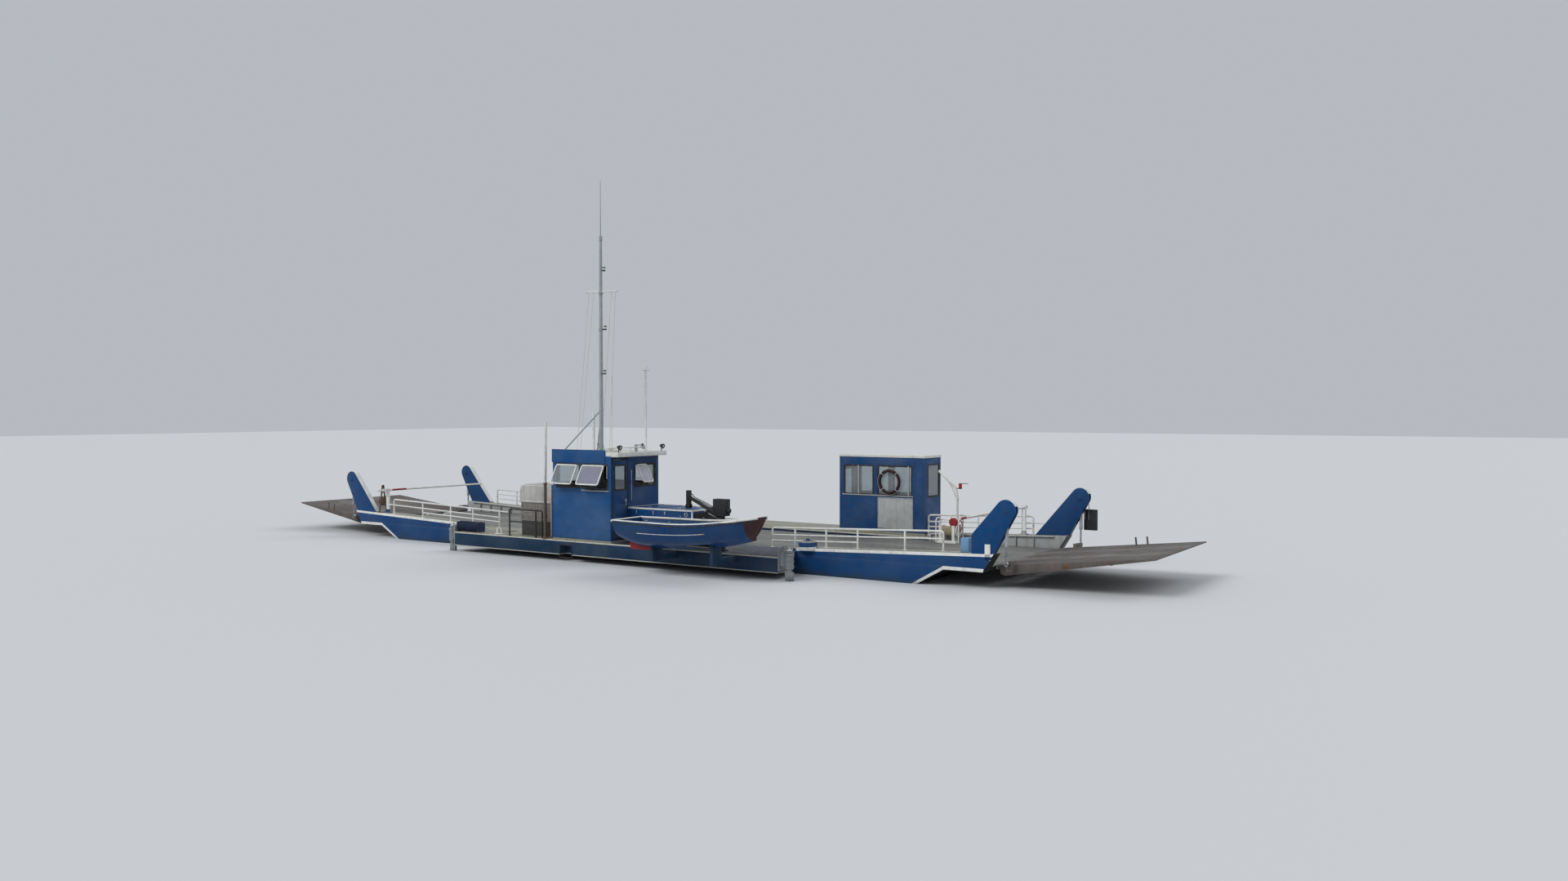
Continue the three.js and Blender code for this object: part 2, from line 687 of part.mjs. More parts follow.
function cabinet() {
  const base = box([-2830, -1670], [-3700, -3000], [STRIP.top + FIT, 1040]);
  const locker = box([-2850, -1650], [-3710, -2990], [1030, 1580]);
  const shape = new THREE.Shape();
  shape.moveTo(-2880, 1570);
  shape.lineTo(-1630, 1570);
  shape.lineTo(-1630, 2110);
  shape.lineTo(-2640, 2110);
  shape.quadraticCurveTo(-2850, 2080, -2880, 1780);
  return join(base, locker, acrossY(shape, -3740, -2960));
}
piece("cabinet_hood", cabinet(), "white");

function sponsonPole() {
  const [x, y] = [-1560, -4040];
  const foot = SPONSON.top + FIT;
  return join(
    bar([x, y, foot], [x, y, 2200], 45, 10),
    bar([x, y, 2190], [x + 40, y, 3930], 38, 10),
    bar([x, y, foot], [x, y, foot + 20], 100, 10),
  );
}
piece("sponson_pole", sponsonPole(), "white");

function sponsonGuard() {
  const foot = SPONSON.top + FIT;
  const y = -4030;
  const posts = [-3000, -1945].map((x) => bar([x, y, foot], [x, y, 1380], PIPE, 6));
  const rails = [1380, 1020].map((z) => bar([-3020, y, z], [-1660, y, z], PIPE * 0.8, 6));
  return join(posts, rails, bar([-1690, y, foot], [-1690, y, 1390], PIPE, 6));
}
piece("sponson_guard", sponsonGuard(), "dark");

// Boat crane: a pedestal with a slewing column, winch box and jib
const CRANE = { x: 4440, y: -3700, seat: 1100 };
piece(
  "crane_pedestal",
  join(
    bar([CRANE.x, CRANE.y, SPONSON.top + FIT], [CRANE.x, CRANE.y, CRANE.seat], 95, 12),
    bar([CRANE.x, CRANE.y, SPONSON.top + FIT], [CRANE.x, CRANE.y, SPONSON.top + 30], 170, 12),
  ),
  "dark",
);

function craneJib() {
  const seat = FIT;
  return join(
    bar([0, 0, seat], [0, 0, 840], 80, 12),
    box([-220, 180], [-110, 110], [410, 850]),
    bar([170, 0, 550], [260, 0, 550], 60, 10),
    bar([20, 0, 370], [-1040, 0, 835], 60, 8, 40),
    box([-1150, -1040], [-50, 50], [670, 1040]),
    bar([-520, 0, 480], [-200, 0, 640], 32, 8),
  );
}
piece("crane_jib", craneJib(), "dark", pivot(CRANE.x, CRANE.y, CRANE.seat));

// How far the dinghy's keel rises above its lowest point, towards stern 0 and bow 1
function keelRise(s) {
  const aft = Math.max(0, 0.22 - s) / 0.22;
  return 170 * aft ** 2 + 490 * Math.max(0, s - 0.25) ** 1.65 + 900 * Math.max(0, s - 0.7) ** 2;
}

// Dinghy: an open boat shaped from a box grid, hollowed by a smaller copy
// Station s runs from stern 0 to bow 1, side t from -1 to 1, height r from keel 0 to gunwale 1
function boatShape(inset, raise) {
  const length = BOAT.bow - BOAT.stern;
  const geometry = new THREE.BoxGeometry(1, 2, 1, 10, 4, 3);
  geometry.translate(0.5, 0, 0.5);
  const position = geometry.attributes.position;
  for (let i = 0; i < position.count; i++) {
    const s = position.getX(i);
    const t = position.getY(i);
    const r = position.getZ(i);
    const full = BOAT.beam / 2 - inset;
    const plan = 0.82 + 0.18 * Math.sin((Math.min(s, 0.5) / 0.5) * (Math.PI / 2));
    const bow = s < 0.5 ? 1 : Math.sqrt(Math.max(0, 1 - ((s - 0.5) / 0.5) ** 2.6));
    const flare = 0.3 + 0.7 * r ** 0.45;
    const half = Math.max(full * plan * bow * flare, 12);
    const sheer = BOAT.sheer + 826 * Math.max(0, s - 0.45) ** 2;
    const keel = BOAT.keel + keelRise(s);
    const deadrise = 90 * Math.abs(t) * (1 - r);
    const low = keel + inset * 1.3 + deadrise;
    const z = low + (sheer + raise - low) * r;
    const rake = 260 * r * s ** 6 - inset * 1.1 * (s - 0.5) * 2;
    position.setXYZ(i, BOAT.stern + s * (length - 260) + rake, BOAT.y + t * half, z);
  }
  return solid(geometry);
}

function dinghy() {
  const shell = cut(boatShape(0, 0), boatShape(BOAT.wall, 90));
  const wide = boatShape(4, -25);
  const thwarts = [2750, 3900, 5000].map((x) =>
    box([x, x + 240], [BOAT.y - 800, BOAT.y + 800], [1200, 1240]).intersect(wide),
  );
  const skeg = acrossY(
    outline([
      [2390, 640],
      [3060, 640],
      [3190, 715],
      [2780, 755],
      [2350, 865],
    ]),
    BOAT.y - 30,
    BOAT.y + 30,
  );
  return join(shell, thwarts, skeg);
}
piece("dinghy", dinghy(), "boatBlue");

// Drive legs at both ends of the near sponson: bracket, steering column and propeller
const LEGS = [
  { name: "right", end: 1, face: SPONSON_NEAR.right, away: 280 },
  { name: "left", end: -1, face: SPONSON_NEAR.left, away: 200 },
];

function legBracket({ end, face, away }) {
  const x = face + end * away;
  const from = face + end * FIT;
  const across = (to) => [Math.min(from, to), Math.max(from, to)];
  const plate = box(across(from + end * 40), [-4090, -3800], [230, 760]);
  const sleeve = bar([x, LEG.y, 300], [x, LEG.y, 700], 110, 16);
  const casting = box(across(x), [LEG.y - 70, LEG.y + 70], [370, 680]);
  const collar = bar([x, LEG.y, 640], [x, LEG.y, 690], 125, 16);
  const loops = [-60, 60].map((dy) =>
    pipe(
      [
        [x - end * 93, LEG.y + dy, 660],
        [x - end * 93, LEG.y + dy, 860],
        [x - end * away * 0.71, LEG.y + dy, 840],
        [x - end * (away - 18), LEG.y + dy, 700],
      ],
      14,
      6,
      6,
    ),
  );
  const bore = bar([x, LEG.y, 0], [x, LEG.y, 1000], LEG.column + RUNNING, BORE_SIDES);
  return cut(join(plate, sleeve, casting, collar, loops), bore);
}

function legColumn(end) {
  const column = bar([0, 0, LEG.gearcase], [0, 0, 760], LEG.column, 16);
  const cap = bar([0, 0, 706], [0, 0, 770], 88, 16);
  const fairing = box([-110, 110], [-40, 40], [LEG.gearcase, 230]);
  const gearcase = bar([-end * 200, 0, LEG.gearcase], [end * 190, 0, LEG.gearcase], 88, 12);
  const nose = ball([-end * 200, 0, LEG.gearcase], 88, 12);
  const skeg = box([-60, 60], [-12, 12], [LEG.gearcase - 200, LEG.gearcase]);
  const shaft = bar([end * 180, 0, LEG.gearcase], [end * 330, 0, LEG.gearcase], LEG.shaft, 12);
  return join(column, cap, fairing, gearcase, nose, skeg, shaft);
}

function propeller(end) {
  const [from, to] = [end * 205, end * 315];
  const hub = bar([from, 0, 0], [to, 0, 0], 60, 12);
  const blades = [0, 1, 2, 3].map((i) => {
    const blade = new THREE.BoxGeometry(14, 120, 170);
    blade.translate(0, 0, 125);
    blade.rotateZ(THREE.MathUtils.degToRad(35));
    blade.rotateX((i * Math.PI) / 2);
    blade.translate((from + to) / 2, 0, 0);
    return solid(blade);
  });
  return cut(join(hub, blades), bar([from - end * 50, 0, 0], [to + end * 50, 0, 0], LEG.shaft + RUNNING, BORE_SIDES));
}

for (const leg of LEGS) {
  piece("drive_bracket_" + leg.name, legBracket(leg), "castGrey");
  const group = pivot(leg.face + leg.end * leg.away, LEG.y, 0);
  piece("drive_leg_" + leg.name, legColumn(leg.end), "castGrey", group);
  piece("propeller_" + leg.name, propeller(leg.end), "bronze", pivot(0, 0, LEG.gearcase, group));
}

// Passenger cabin on the far sponson
const cabinZ = [CABIN.floor + 60 + FIT, CABIN.roof - FIT];
function cabinFloor() {
  const slab = box([CABIN.left, CABIN.right], [CABIN.near, CABIN.far], [CABIN.floor + FIT, CABIN.floor + 60]);
  const bench = box([CABIN.left + 300, CABIN.right - 60], [CABIN.far - 400, CABIN.far - 60], [650, 1080]);
  return join(slab, bench);
}
piece("cabin_floor", cabinFloor(), "cream");

function cabinSide(y0, panes, at) {
  const wall = box([CABIN.left, CABIN.right], [y0, y0 + WALL], cabinZ);
  return cut(
    wall,
    panes.map(([x0, x1]) => windowTool("x", x0, x1, 1750, CABIN.head, at)),
  );
}
const CABIN_PANES = [
  [4560, 5560],
  [5720, 6850],
];
piece("cabin_wall_near", cabinSide(CABIN.near, CABIN_PANES, CABIN.near), "blue");
piece("cabin_wall_far", cabinSide(CABIN.far - WALL, CABIN_PANES, CABIN.far), "blue");

const cabinY = [CABIN.near + WALL + FIT, CABIN.far - WALL - FIT];
piece(
  "cabin_wall_right",
  cut(
    box([CABIN.right - WALL, CABIN.right], cabinY, cabinZ),
    windowTool("y", 2650, 3400, 1730, CABIN.head + 50, CABIN.right),
  ),
  "blue",
);

const CABIN_DOOR = { y0: 2640, y1: 3340, z0: 720, z1: 2640, hinges: [1000, 2280] };
function cabinLeft() {
  const wall = box([CABIN.left, CABIN.left + WALL], cabinY, cabinZ);
  const { y0, y1, z0, z1 } = CABIN_DOOR;
  const doorway = windowTool("y", y0 - 6, y1 + 6, z0 - 6, z1 + 6, CABIN.left);
  return join(cut(wall, doorway), hingePins(-1, CABIN.left - HINGE.out, y0, CABIN_DOOR.hinges));
}
piece("cabin_wall_left", cabinLeft(), "blue");

piece(
  "cabin_roof",
  box([CABIN.left - 10, CABIN.right + 10], [CABIN.near - 10, CABIN.far + 10], [CABIN.roof, CABIN.roof + 50]),
  "white",
);

function cabinDoor() {
  const { y0, y1, z0, z1, hinges } = CABIN_DOOR;
  const width = y1 - y0;
  const leaf = box([HINGE.out, HINGE.out + WALL], [0, width], [z0, z1]);
  const pane = box([-200, 200], [110, width - 110], [1650, 2500]);
  const eyes = hinges.map((z) => hingeEyes(-1, z));
  const handle = leverHandle(-1, width - 60, 1620);
  return cut(join(cut(leaf, pane), eyes, handle), hingeHoles(hinges));
}
piece("cabin_door", cabinDoor(), "blue", pivot(CABIN.left - HINGE.out, CABIN_DOOR.y0, 0));

// Deck gear at the far side
const DAVIT = { x: 8330, y: 2420 };
function davitSocket() {
  const foot = bulwarkTop(DAVIT.x);
  const sleeve = bar([DAVIT.x, DAVIT.y, foot - 10], [DAVIT.x, DAVIT.y, foot + 240], 62, 12);
  const flange = bar([DAVIT.x, DAVIT.y, foot - 10], [DAVIT.x, DAVIT.y, foot + 20], 110, 12);
  return seated(join(sleeve, flange), 1);
}
piece("davit_socket", davitSocket(), "steel");

function davitArm() {
  const foot = bulwarkTop(DAVIT.x) + 240 + FIT;
  return pipe(
    [
      [0, 0, foot],
      [0, 0, 1750],
      [-60, 0, 2050],
      [-560, 0, 2500],
    ],
    38,
    8,
    10,
  );
}
piece("davit", davitArm(), "white", pivot(DAVIT.x, DAVIT.y, 0));

function windlass() {
  const foot = HULL.deck + FIT;
  return join(
    box([7950, 8550], [1850, 2200], [foot, foot + 60]),
    box([8000, 8080], [1900, 2150], [foot + 40, 1000]),
    box([8400, 8480], [1900, 2150], [foot + 40, 1000]),
    bar([7990, 2020, 850], [8490, 2020, 850], 110, 14),
    bar([8480, 2020, 850], [8560, 2020, 850], 40, 12),
    bar([8540, 2020, 850], [8570, 2020, 850], 190, 16),
  );
}
piece("windlass", windlass(), "cream");

// An A-frame with a drum, on the bulwark beside the near left wing
function handWinch() {
  const [x, y] = [-10560, -2460];
  const foot = bulwarkTop(x) - 10;
  const legs = [-1, 1].map((side) => bar([x, y + side * 150, foot], [x, y + side * 18, 1740], 26, 8));
  const body = join(
    legs,
    box([x - 70, x + 70], [y - 190, y + 190], [foot, foot + 30]),
    box([x - 55, x + 55], [y - 115, y + 115], [1060, 1100]),
    bar([x - 70, y, 1190], [x + 70, y, 1190], 100, 12),
    bar([x, y - 70, 1500], [x, y + 70, 1500], 30, 8),
  );
  return seated(body, -1);
}
piece("hand_winch", handWinch(), "red");

export default ferry;
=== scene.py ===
# %% [markdown]
# A small river ferry with a ramp at each end, finished for its portrait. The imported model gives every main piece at
# its real size, in metres, with +X along the hull, -Y the wheelhouse side, +Z up and the water's surface at Z 0.
# Nothing here moves those pieces. This lesson adds paint, wear, panes, pipes and fittings on top of them, and
# swaps some for smoother versions of the same form.

import json
import math

import bmesh
import bpy
from mathutils import Matrix, Vector


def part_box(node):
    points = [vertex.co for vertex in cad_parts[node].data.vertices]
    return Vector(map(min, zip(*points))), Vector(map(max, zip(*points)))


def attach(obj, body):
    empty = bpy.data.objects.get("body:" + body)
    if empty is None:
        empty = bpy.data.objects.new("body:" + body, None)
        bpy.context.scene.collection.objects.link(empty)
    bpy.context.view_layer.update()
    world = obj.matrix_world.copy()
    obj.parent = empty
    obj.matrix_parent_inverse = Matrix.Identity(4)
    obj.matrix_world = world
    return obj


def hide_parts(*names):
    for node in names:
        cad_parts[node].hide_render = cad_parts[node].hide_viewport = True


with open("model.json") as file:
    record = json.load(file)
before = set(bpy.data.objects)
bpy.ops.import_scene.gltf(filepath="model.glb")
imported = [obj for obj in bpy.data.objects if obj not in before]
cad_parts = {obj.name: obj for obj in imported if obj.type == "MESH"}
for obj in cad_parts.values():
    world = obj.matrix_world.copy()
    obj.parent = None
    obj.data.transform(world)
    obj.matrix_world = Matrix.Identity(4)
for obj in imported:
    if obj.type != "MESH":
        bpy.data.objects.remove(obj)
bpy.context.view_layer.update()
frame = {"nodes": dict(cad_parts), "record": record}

# %% [markdown]
# The sizes that many pieces share come first. A few are read off the imported nodes; the rest are given here, with
# short lists of real places measured from the photograph.

# %% Shared sizes
hull_low, hull_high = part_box("hull_pontoon")
DECK = 0.5
INNER = 2.25
CABIN_LOW, CABIN_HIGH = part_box("cabin_floor")
SKIN = 0.004  # how far a painted band or trim stands proud


def bulwark_top(x):
    """Height of the bulwark's sloping top, which rises from amidships to each end."""
    return 0.66 + (abs(x) - 6.0) / 5.65 * 0.2


print("hull", tuple(round(v, 2) for v in hull_low), tuple(round(v, 2) for v in hull_high))

# %% [markdown]
# The camera stands where the photographer stood: 4.3 m above the water on the near bank, looking 33 degrees to the
# left of straight across. A focal length of 1500 pixels on a 1920 pixel wide picture is a 28 mm lens on a 36 mm
# sensor. The far horizon sits a little above the picture's middle, so the camera tips down by 1.5 degrees.

# %% Camera
CAMERA_PLACE = (23.26, -29.7, 4.33)
CAMERA_TURN = math.radians(33)
CAMERA_TIP = math.radians(1.51)
lens = bpy.data.cameras.new("camera")
lens.lens = 36 * 1500 / 1920
lens.clip_end = 500
camera = bpy.data.objects.new("camera", lens)
bpy.context.scene.collection.objects.link(camera)
camera.location = CAMERA_PLACE
camera.rotation_euler = (math.pi / 2 - CAMERA_TIP, 0, CAMERA_TURN)
bpy.context.scene.camera = camera
bpy.context.scene.view_settings.view_transform = "Standard"
print("lens", round(lens.lens, 2), "mm")

# %% [markdown]
# A wide pale floor lies at the waterline and hides what floats below it. The light is soft from all round, with one
# broad key light from high on the near left and a weaker one from behind, so that edges show without hard shadows.

# %% Floor and light
floor_mesh = bmesh.new()
bmesh.ops.create_grid(floor_mesh, x_segments=1, y_segments=1, size=180)
floor_data = bpy.data.meshes.new("floor")
floor_mesh.to_mesh(floor_data)
floor_mesh.free()
floor = bpy.data.objects.new("floor", floor_data)
bpy.context.scene.collection.objects.link(floor)
pale = bpy.data.materials.new("floor_pale")
pale.use_nodes = True
pale.node_tree.nodes["Principled BSDF"].inputs["Base Color"].default_value = (0.62, 0.63, 0.64, 1)
pale.node_tree.nodes["Principled BSDF"].inputs["Roughness"].default_value = 0.85
floor_data.materials.append(pale)

world = bpy.data.worlds.new("studio")
world.use_nodes = True
world.node_tree.nodes["Background"].inputs["Color"].default_value = (0.84, 0.88, 0.94, 1)
world.node_tree.nodes["Background"].inputs["Strength"].default_value = 0.56
bpy.context.scene.world = world


def soft_light(name, strength, spread, turn):
    """A far light whose size in the sky, its spread, softens every shadow."""
    data = bpy.data.lights.new(name, "SUN")
    data.energy = strength
    data.angle = math.radians(spread)
    lamp = bpy.data.objects.new(name, data)
    lamp.rotation_euler = [math.radians(a) for a in turn]
    bpy.context.scene.collection.objects.link(lamp)


soft_light("key", 1.5, 30, (48, 0, -22))
soft_light("back", 0.7, 40, (-52, 0, -35))

# %% [markdown]
# Paint on a working boat is never one flat colour. Four effects are shared by many finishes, so each is built once
# as a node group: fading and dirt runs, rust that breaks through, the dark tide line near the water, and paint that
# is rubbed off along edges. A group gives out only colours, masks and heights. The shader stays in the material,
# because only there can the export read it.

# %% Node helpers
def add_node(tree, kind, links=(), **settings):
    """A node with its settings, and its inputs joined to sockets or set to values."""
    made = tree.nodes.new(kind)
    for key, value in settings.items():
        setattr(made, key, value)
    for name, value in dict(links).items():
        if isinstance(value, bpy.types.NodeSocket):
            tree.links.new(value, made.inputs[name])
        else:
            made.inputs[name].default_value = value
    return made


def new_group(name, inputs, outputs):
    """An empty node group with named sockets. A pair is a socket's name and its default value."""
    tree = bpy.data.node_groups.new(name, "ShaderNodeTree")
    for label, value in inputs.items():
        kind = "NodeSocketFloat" if isinstance(value, (int, float)) else "NodeSocketColor"
        tree.interface.new_socket(label, in_out="INPUT", socket_type=kind).default_value = value
    for label, kind in outputs.items():
        tree.interface.new_socket(label, in_out="OUTPUT", socket_type="NodeSocket" + kind)
    return tree, tree.nodes.new("NodeGroupInput").outputs, tree.nodes.new("NodeGroupOutput").inputs


def place_of(tree):
    """Object coordinates, the same metres as the frame."""
    return add_node(tree, "ShaderNodeTexCoord").outputs["Object"]


def noise(tree, where, scale, detail=3.0, roughness=0.55, stretch=None):
    """Cloudy noise from 0 to 1, stretched along an axis where a Mapping scale is given."""
    if stretch:
        where = add_node(tree, "ShaderNodeMapping", {"Vector": where, "Scale": stretch}).outputs["Vector"]
    links = {"Vector": where, "Scale": scale, "Detail": detail, "Roughness": roughness}
    return add_node(tree, "ShaderNodeTexNoise", links).outputs["Fac"]


def remap(tree, value, low, high, new_low=0.0, new_high=1.0):
    """A value from low to high, spread over another range and held at its ends."""
    links = {"Value": value, "From Min": low, "From Max": high, "To Min": new_low, "To Max": new_high}
    return add_node(tree, "ShaderNodeMapRange", links).outputs["Result"]


def math_node(tree, kind, a, b=0.0):
    made = tree.nodes.new("ShaderNodeMath")
    made.operation = kind
    for socket, value in zip(made.inputs, (a, b)):
        if isinstance(value, bpy.types.NodeSocket):
            tree.links.new(value, socket)
        else:
            socket.default_value = value
    return made.outputs[0]


def mixed(tree, share, first, second, blend="MIX"):
    """Two colours mixed by a share."""
    made = tree.nodes.new("ShaderNodeMix")
    made.data_type = "RGBA"
    made.blend_type = blend
    for index, value in ((0, share), (6, first), (7, second)):
        if isinstance(value, bpy.types.NodeSocket):
            tree.links.new(value, made.inputs[index])
        else:
            made.inputs[index].default_value = value
    return made.outputs[2]


print("node helpers ready")

# %% Shared effect: fading and dirt runs
def weather_group():
    inputs = {"Paint": (0.5, 0.5, 0.5, 1), "Dirt": (0.1, 0.09, 0.07, 1), "Fade": 0.15, "Runs": 0.3, "Gloss": 0.4}
    tree, given, put = new_group("weather", inputs, {"Color": "Color", "Roughness": "Float", "Height": "Float"})
    where = place_of(tree)
    cloud = noise(tree, where, 0.9, 5.0)
    patch = noise(tree, where, 6.0, 4.0)
    run = noise(tree, where, 1.0, 4.0, 0.6, stretch=(9, 9, 0.55))
    grain = noise(tree, where, 90.0, 2.0)
    pale = mixed(tree, 0.35, given["Paint"], (0.55, 0.58, 0.6, 1))
    fading = math_node(tree, "MULTIPLY", remap(tree, cloud, 0.35, 0.7), given["Fade"])
    faded = mixed(tree, fading, given["Paint"], pale)
    deep = mixed(tree, remap(tree, patch, 0.4, 0.75, 0.0, 0.22), faded, given["Dirt"])
    dirty = math_node(tree, "MULTIPLY", remap(tree, run, 0.52, 0.78), given["Runs"])
    tree.links.new(mixed(tree, dirty, deep, given["Dirt"]), put["Color"])
    rough = math_node(tree, "ADD", given["Gloss"], remap(tree, patch, 0.3, 0.7, -0.07, 0.1))
    tree.links.new(math_node(tree, "ADD", rough, math_node(tree, "MULTIPLY", dirty, 0.3)), put["Roughness"])
    uneven = math_node(tree, "ADD", math_node(tree, "MULTIPLY", patch, 0.5),
                       math_node(tree, "MULTIPLY", grain, 0.12))
    tree.links.new(uneven, put["Height"])
    return tree


WEATHER = weather_group()
print("effect:", WEATHER.name)

# %% Shared effect: rust that breaks through
def rust_group():
    inputs = {"Paint": (0.5, 0.5, 0.5, 1), "Amount": 0.2, "Size": 3.0}
    tree, given, put = new_group("rust", inputs, {"Color": "Color", "Mask": "Float"})
    where = place_of(tree)
    links = {"Vector": where, "Scale": given["Size"], "Detail": 8.0, "Roughness": 0.68}
    spots = add_node(tree, "ShaderNodeTexNoise", links).outputs["Fac"]
    weep = noise(tree, where, 1.0, 5.0, 0.6, stretch=(16, 16, 1.1))
    both = math_node(tree, "ADD", spots, math_node(tree, "MULTIPLY", weep, 0.25))
    edge = math_node(tree, "SUBTRACT", 0.86, math_node(tree, "MULTIPLY", given["Amount"], 0.36))
    mask = math_node(tree, "MULTIPLY", math_node(tree, "SUBTRACT", both, edge), 14.0)
    held = add_node(tree, "ShaderNodeClamp", {"Value": mask}).outputs["Result"]
    fine = noise(tree, where, 38.0, 6.0, 0.7)
    brown = mixed(tree, remap(tree, fine, 0.35, 0.65), (0.075, 0.028, 0.012, 1), (0.2, 0.085, 0.03, 1))
    tree.links.new(mixed(tree, held, given["Paint"], brown), put["Color"])
    tree.links.new(held, put["Mask"])
    return tree


RUST = rust_group()
print("effect:", RUST.name)

# %% Shared effect: tide line
def tide_group():
    inputs = {"Paint": (0.5, 0.5, 0.5, 1), "Level": 0.22, "Slime": (0.03, 0.045, 0.028, 1)}
    tree, given, put = new_group("tide", inputs, {"Color": "Color", "Mask": "Float"})
    where = place_of(tree)
    height = add_node(tree, "ShaderNodeSeparateXYZ", {"Vector": where}).outputs["Z"]
    ragged = noise(tree, where, 1.6, 6.0, 0.62, stretch=(1, 1, 0.35))
    line = math_node(tree, "ADD", height, remap(tree, ragged, 0.3, 0.7, -0.09, 0.09))
    below = math_node(tree, "SUBTRACT", given["Level"], line)
    mask = add_node(tree, "ShaderNodeClamp", {"Value": math_node(tree, "MULTIPLY", below, 5.0)}).outputs["Result"]
    share = math_node(tree, "MULTIPLY", mask, 0.78)
    tree.links.new(mixed(tree, share, given["Paint"], given["Slime"]), put["Color"])
    tree.links.new(share, put["Mask"])
    return tree


TIDE = tide_group()
print("effect:", TIDE.name)

# %% Shared effect: rubbed edges
def edge_group():
    inputs = {"Paint": (0.5, 0.5, 0.5, 1), "Bare": (0.25, 0.2, 0.17, 1), "Amount": 0.6}
    tree, given, put = new_group("rubbed_edges", inputs, {"Color": "Color", "Mask": "Float"})
    rounded_normal = add_node(tree, "ShaderNodeBevel", {"Radius": 0.014}, samples=3).outputs["Normal"]
    true_normal = add_node(tree, "ShaderNodeNewGeometry").outputs["Normal"]
    dot = add_node(tree, "ShaderNodeVectorMath", operation="DOT_PRODUCT")
    tree.links.new(rounded_normal, dot.inputs[0])
    tree.links.new(true_normal, dot.inputs[1])
    turn = remap(tree, dot.outputs["Value"], 0.995, 0.86)
    chips = remap(tree, noise(tree, place_of(tree), 13.0, 6.0, 0.7), 0.42, 0.6)
    mask = math_node(tree, "MULTIPLY", math_node(tree, "MULTIPLY", turn, chips), given["Amount"])
    tree.links.new(mixed(tree, mask, given["Paint"], given["Bare"]), put["Color"])
    tree.links.new(mask, put["Mask"])
    return tree


EDGES = edge_group()
print("effect:", EDGES.name)

# %% [markdown]
# One recipe covers all painted steel: a base colour goes through the effects in the order in which a boat ages, and
# the masks also set how dull and how rough the surface is. What differs from paint to paint is a row of values.

# %% Painted steel
def use_group(tree, group, **values):
    made = tree.nodes.new("ShaderNodeGroup")
    made.node_tree = group
    for name, value in values.items():
        if isinstance(value, bpy.types.NodeSocket):
            tree.links.new(value, made.inputs[name])
        else:
            made.inputs[name].default_value = value
    return made.outputs


def blank(name):
    """A new material's tree, its shader and its object coordinates."""
    material = bpy.data.materials.new(name)
    material.use_nodes = True
    tree = material.node_tree
    return material, tree, tree.nodes["Principled BSDF"]


def set_bump(tree, shader, height, strength, distance):
    links = {"Height": height, "Strength": strength, "Distance": distance}
    tree.links.new(add_node(tree, "ShaderNodeBump", links).outputs["Normal"], shader.inputs["Normal"])


def painted(name, paint, gloss=0.4, fade=0.25, runs=0.3, rust=0.15, rust_size=3.0, tide=None, bare=None,
            edges=0.5, dirt=(0.06, 0.055, 0.045, 1), scheme=None, bump=0.25):
    """Painted steel. A scheme is a function that lays out several colours and gives back the paint's socket."""
    material, tree, shader = blank(name)
    base = scheme(tree) if scheme else (*paint, 1)
    aged = use_group(tree, WEATHER, Paint=base, Dirt=dirt, Fade=fade, Runs=runs, Gloss=gloss)
    worn = use_group(tree, EDGES, Paint=aged["Color"], Bare=(*(bare or (0.2, 0.15, 0.12)), 1), Amount=edges)
    rusty = use_group(tree, RUST, Paint=worn["Color"], Amount=rust, Size=rust_size)
    color = rusty["Color"]
    if tide is not None:
        color = use_group(tree, TIDE, Paint=color, Level=tide)["Color"]
    tree.links.new(color, shader.inputs["Base Color"])
    shader.inputs["Specular IOR Level"].default_value = 0.15
    dull = math_node(tree, "ADD", aged["Roughness"], math_node(tree, "MULTIPLY", rusty["Mask"], 0.35))
    tree.links.new(dull, shader.inputs["Roughness"])
    raised = math_node(tree, "SUBTRACT", aged["Height"], math_node(tree, "MULTIPLY", rusty["Mask"], 0.5))
    set_bump(tree, shader, raised, bump, 0.004)
    return material


print("painted steel ready")

# %% [markdown]
# Several nodes carry more than one colour: a hull is blue on its sides, black under its rakes and dull on deck. The
# colours are laid out by where a surface is and which way it faces, from object coordinates and the object's own
# normal. Those stay put when the boat is turned, and the export can read them.

# %% Colour layouts
BLUE = (0.0005, 0.05, 0.17)
BOARD_BLUE = (0.0003, 0.066, 0.21)
# The sponson's sides: the hull's blue darkened as painted shade.
SHADED_SIDE_BLUE = (0.0005, 0.026, 0.068)
LINING = (0.42, 0.43, 0.42)
CREAM = (0.27, 0.265, 0.205)
DARK_DECK = (0.02, 0.028, 0.045)
BLACK = (0.012, 0.012, 0.014)
STEEL = (0.085, 0.068, 0.058)
DECK_GREY = (0.16, 0.16, 0.15)
WHITE = (0.78, 0.78, 0.75)
PALE = (0.5, 0.49, 0.42)
REEL_BLUE = (0.006, 0.02, 0.06)


def axes_of(tree, which):
    """X, Y and Z of a surface's place (Object) or of the way that it faces (Normal)."""
    coordinates = add_node(tree, "ShaderNodeTexCoord").outputs[which]
    return add_node(tree, "ShaderNodeSeparateXYZ", {"Vector": coordinates}).outputs


def lay(tree, colors):
    """Colours laid over each other: the first everywhere, then pairs of a mask and a colour."""
    result = (*colors[0], 1)
    for mask, color in colors[1:]:
        result = mixed(tree, mask, result, (*color, 1))
    return result


def above(tree, value, limit):
    return math_node(tree, "GREATER_THAN", value, limit)


def below(tree, value, limit):
    return math_node(tree, "LESS_THAN", value, limit)


def within(tree, value, low, high):
    return math_node(tree, "MULTIPLY", above(tree, value, low), below(tree, value, high))


def all_of(tree, *masks):
    result = masks[0]
    for mask in masks[1:]:
        result = math_node(tree, "MULTIPLY", result, mask)
    return result


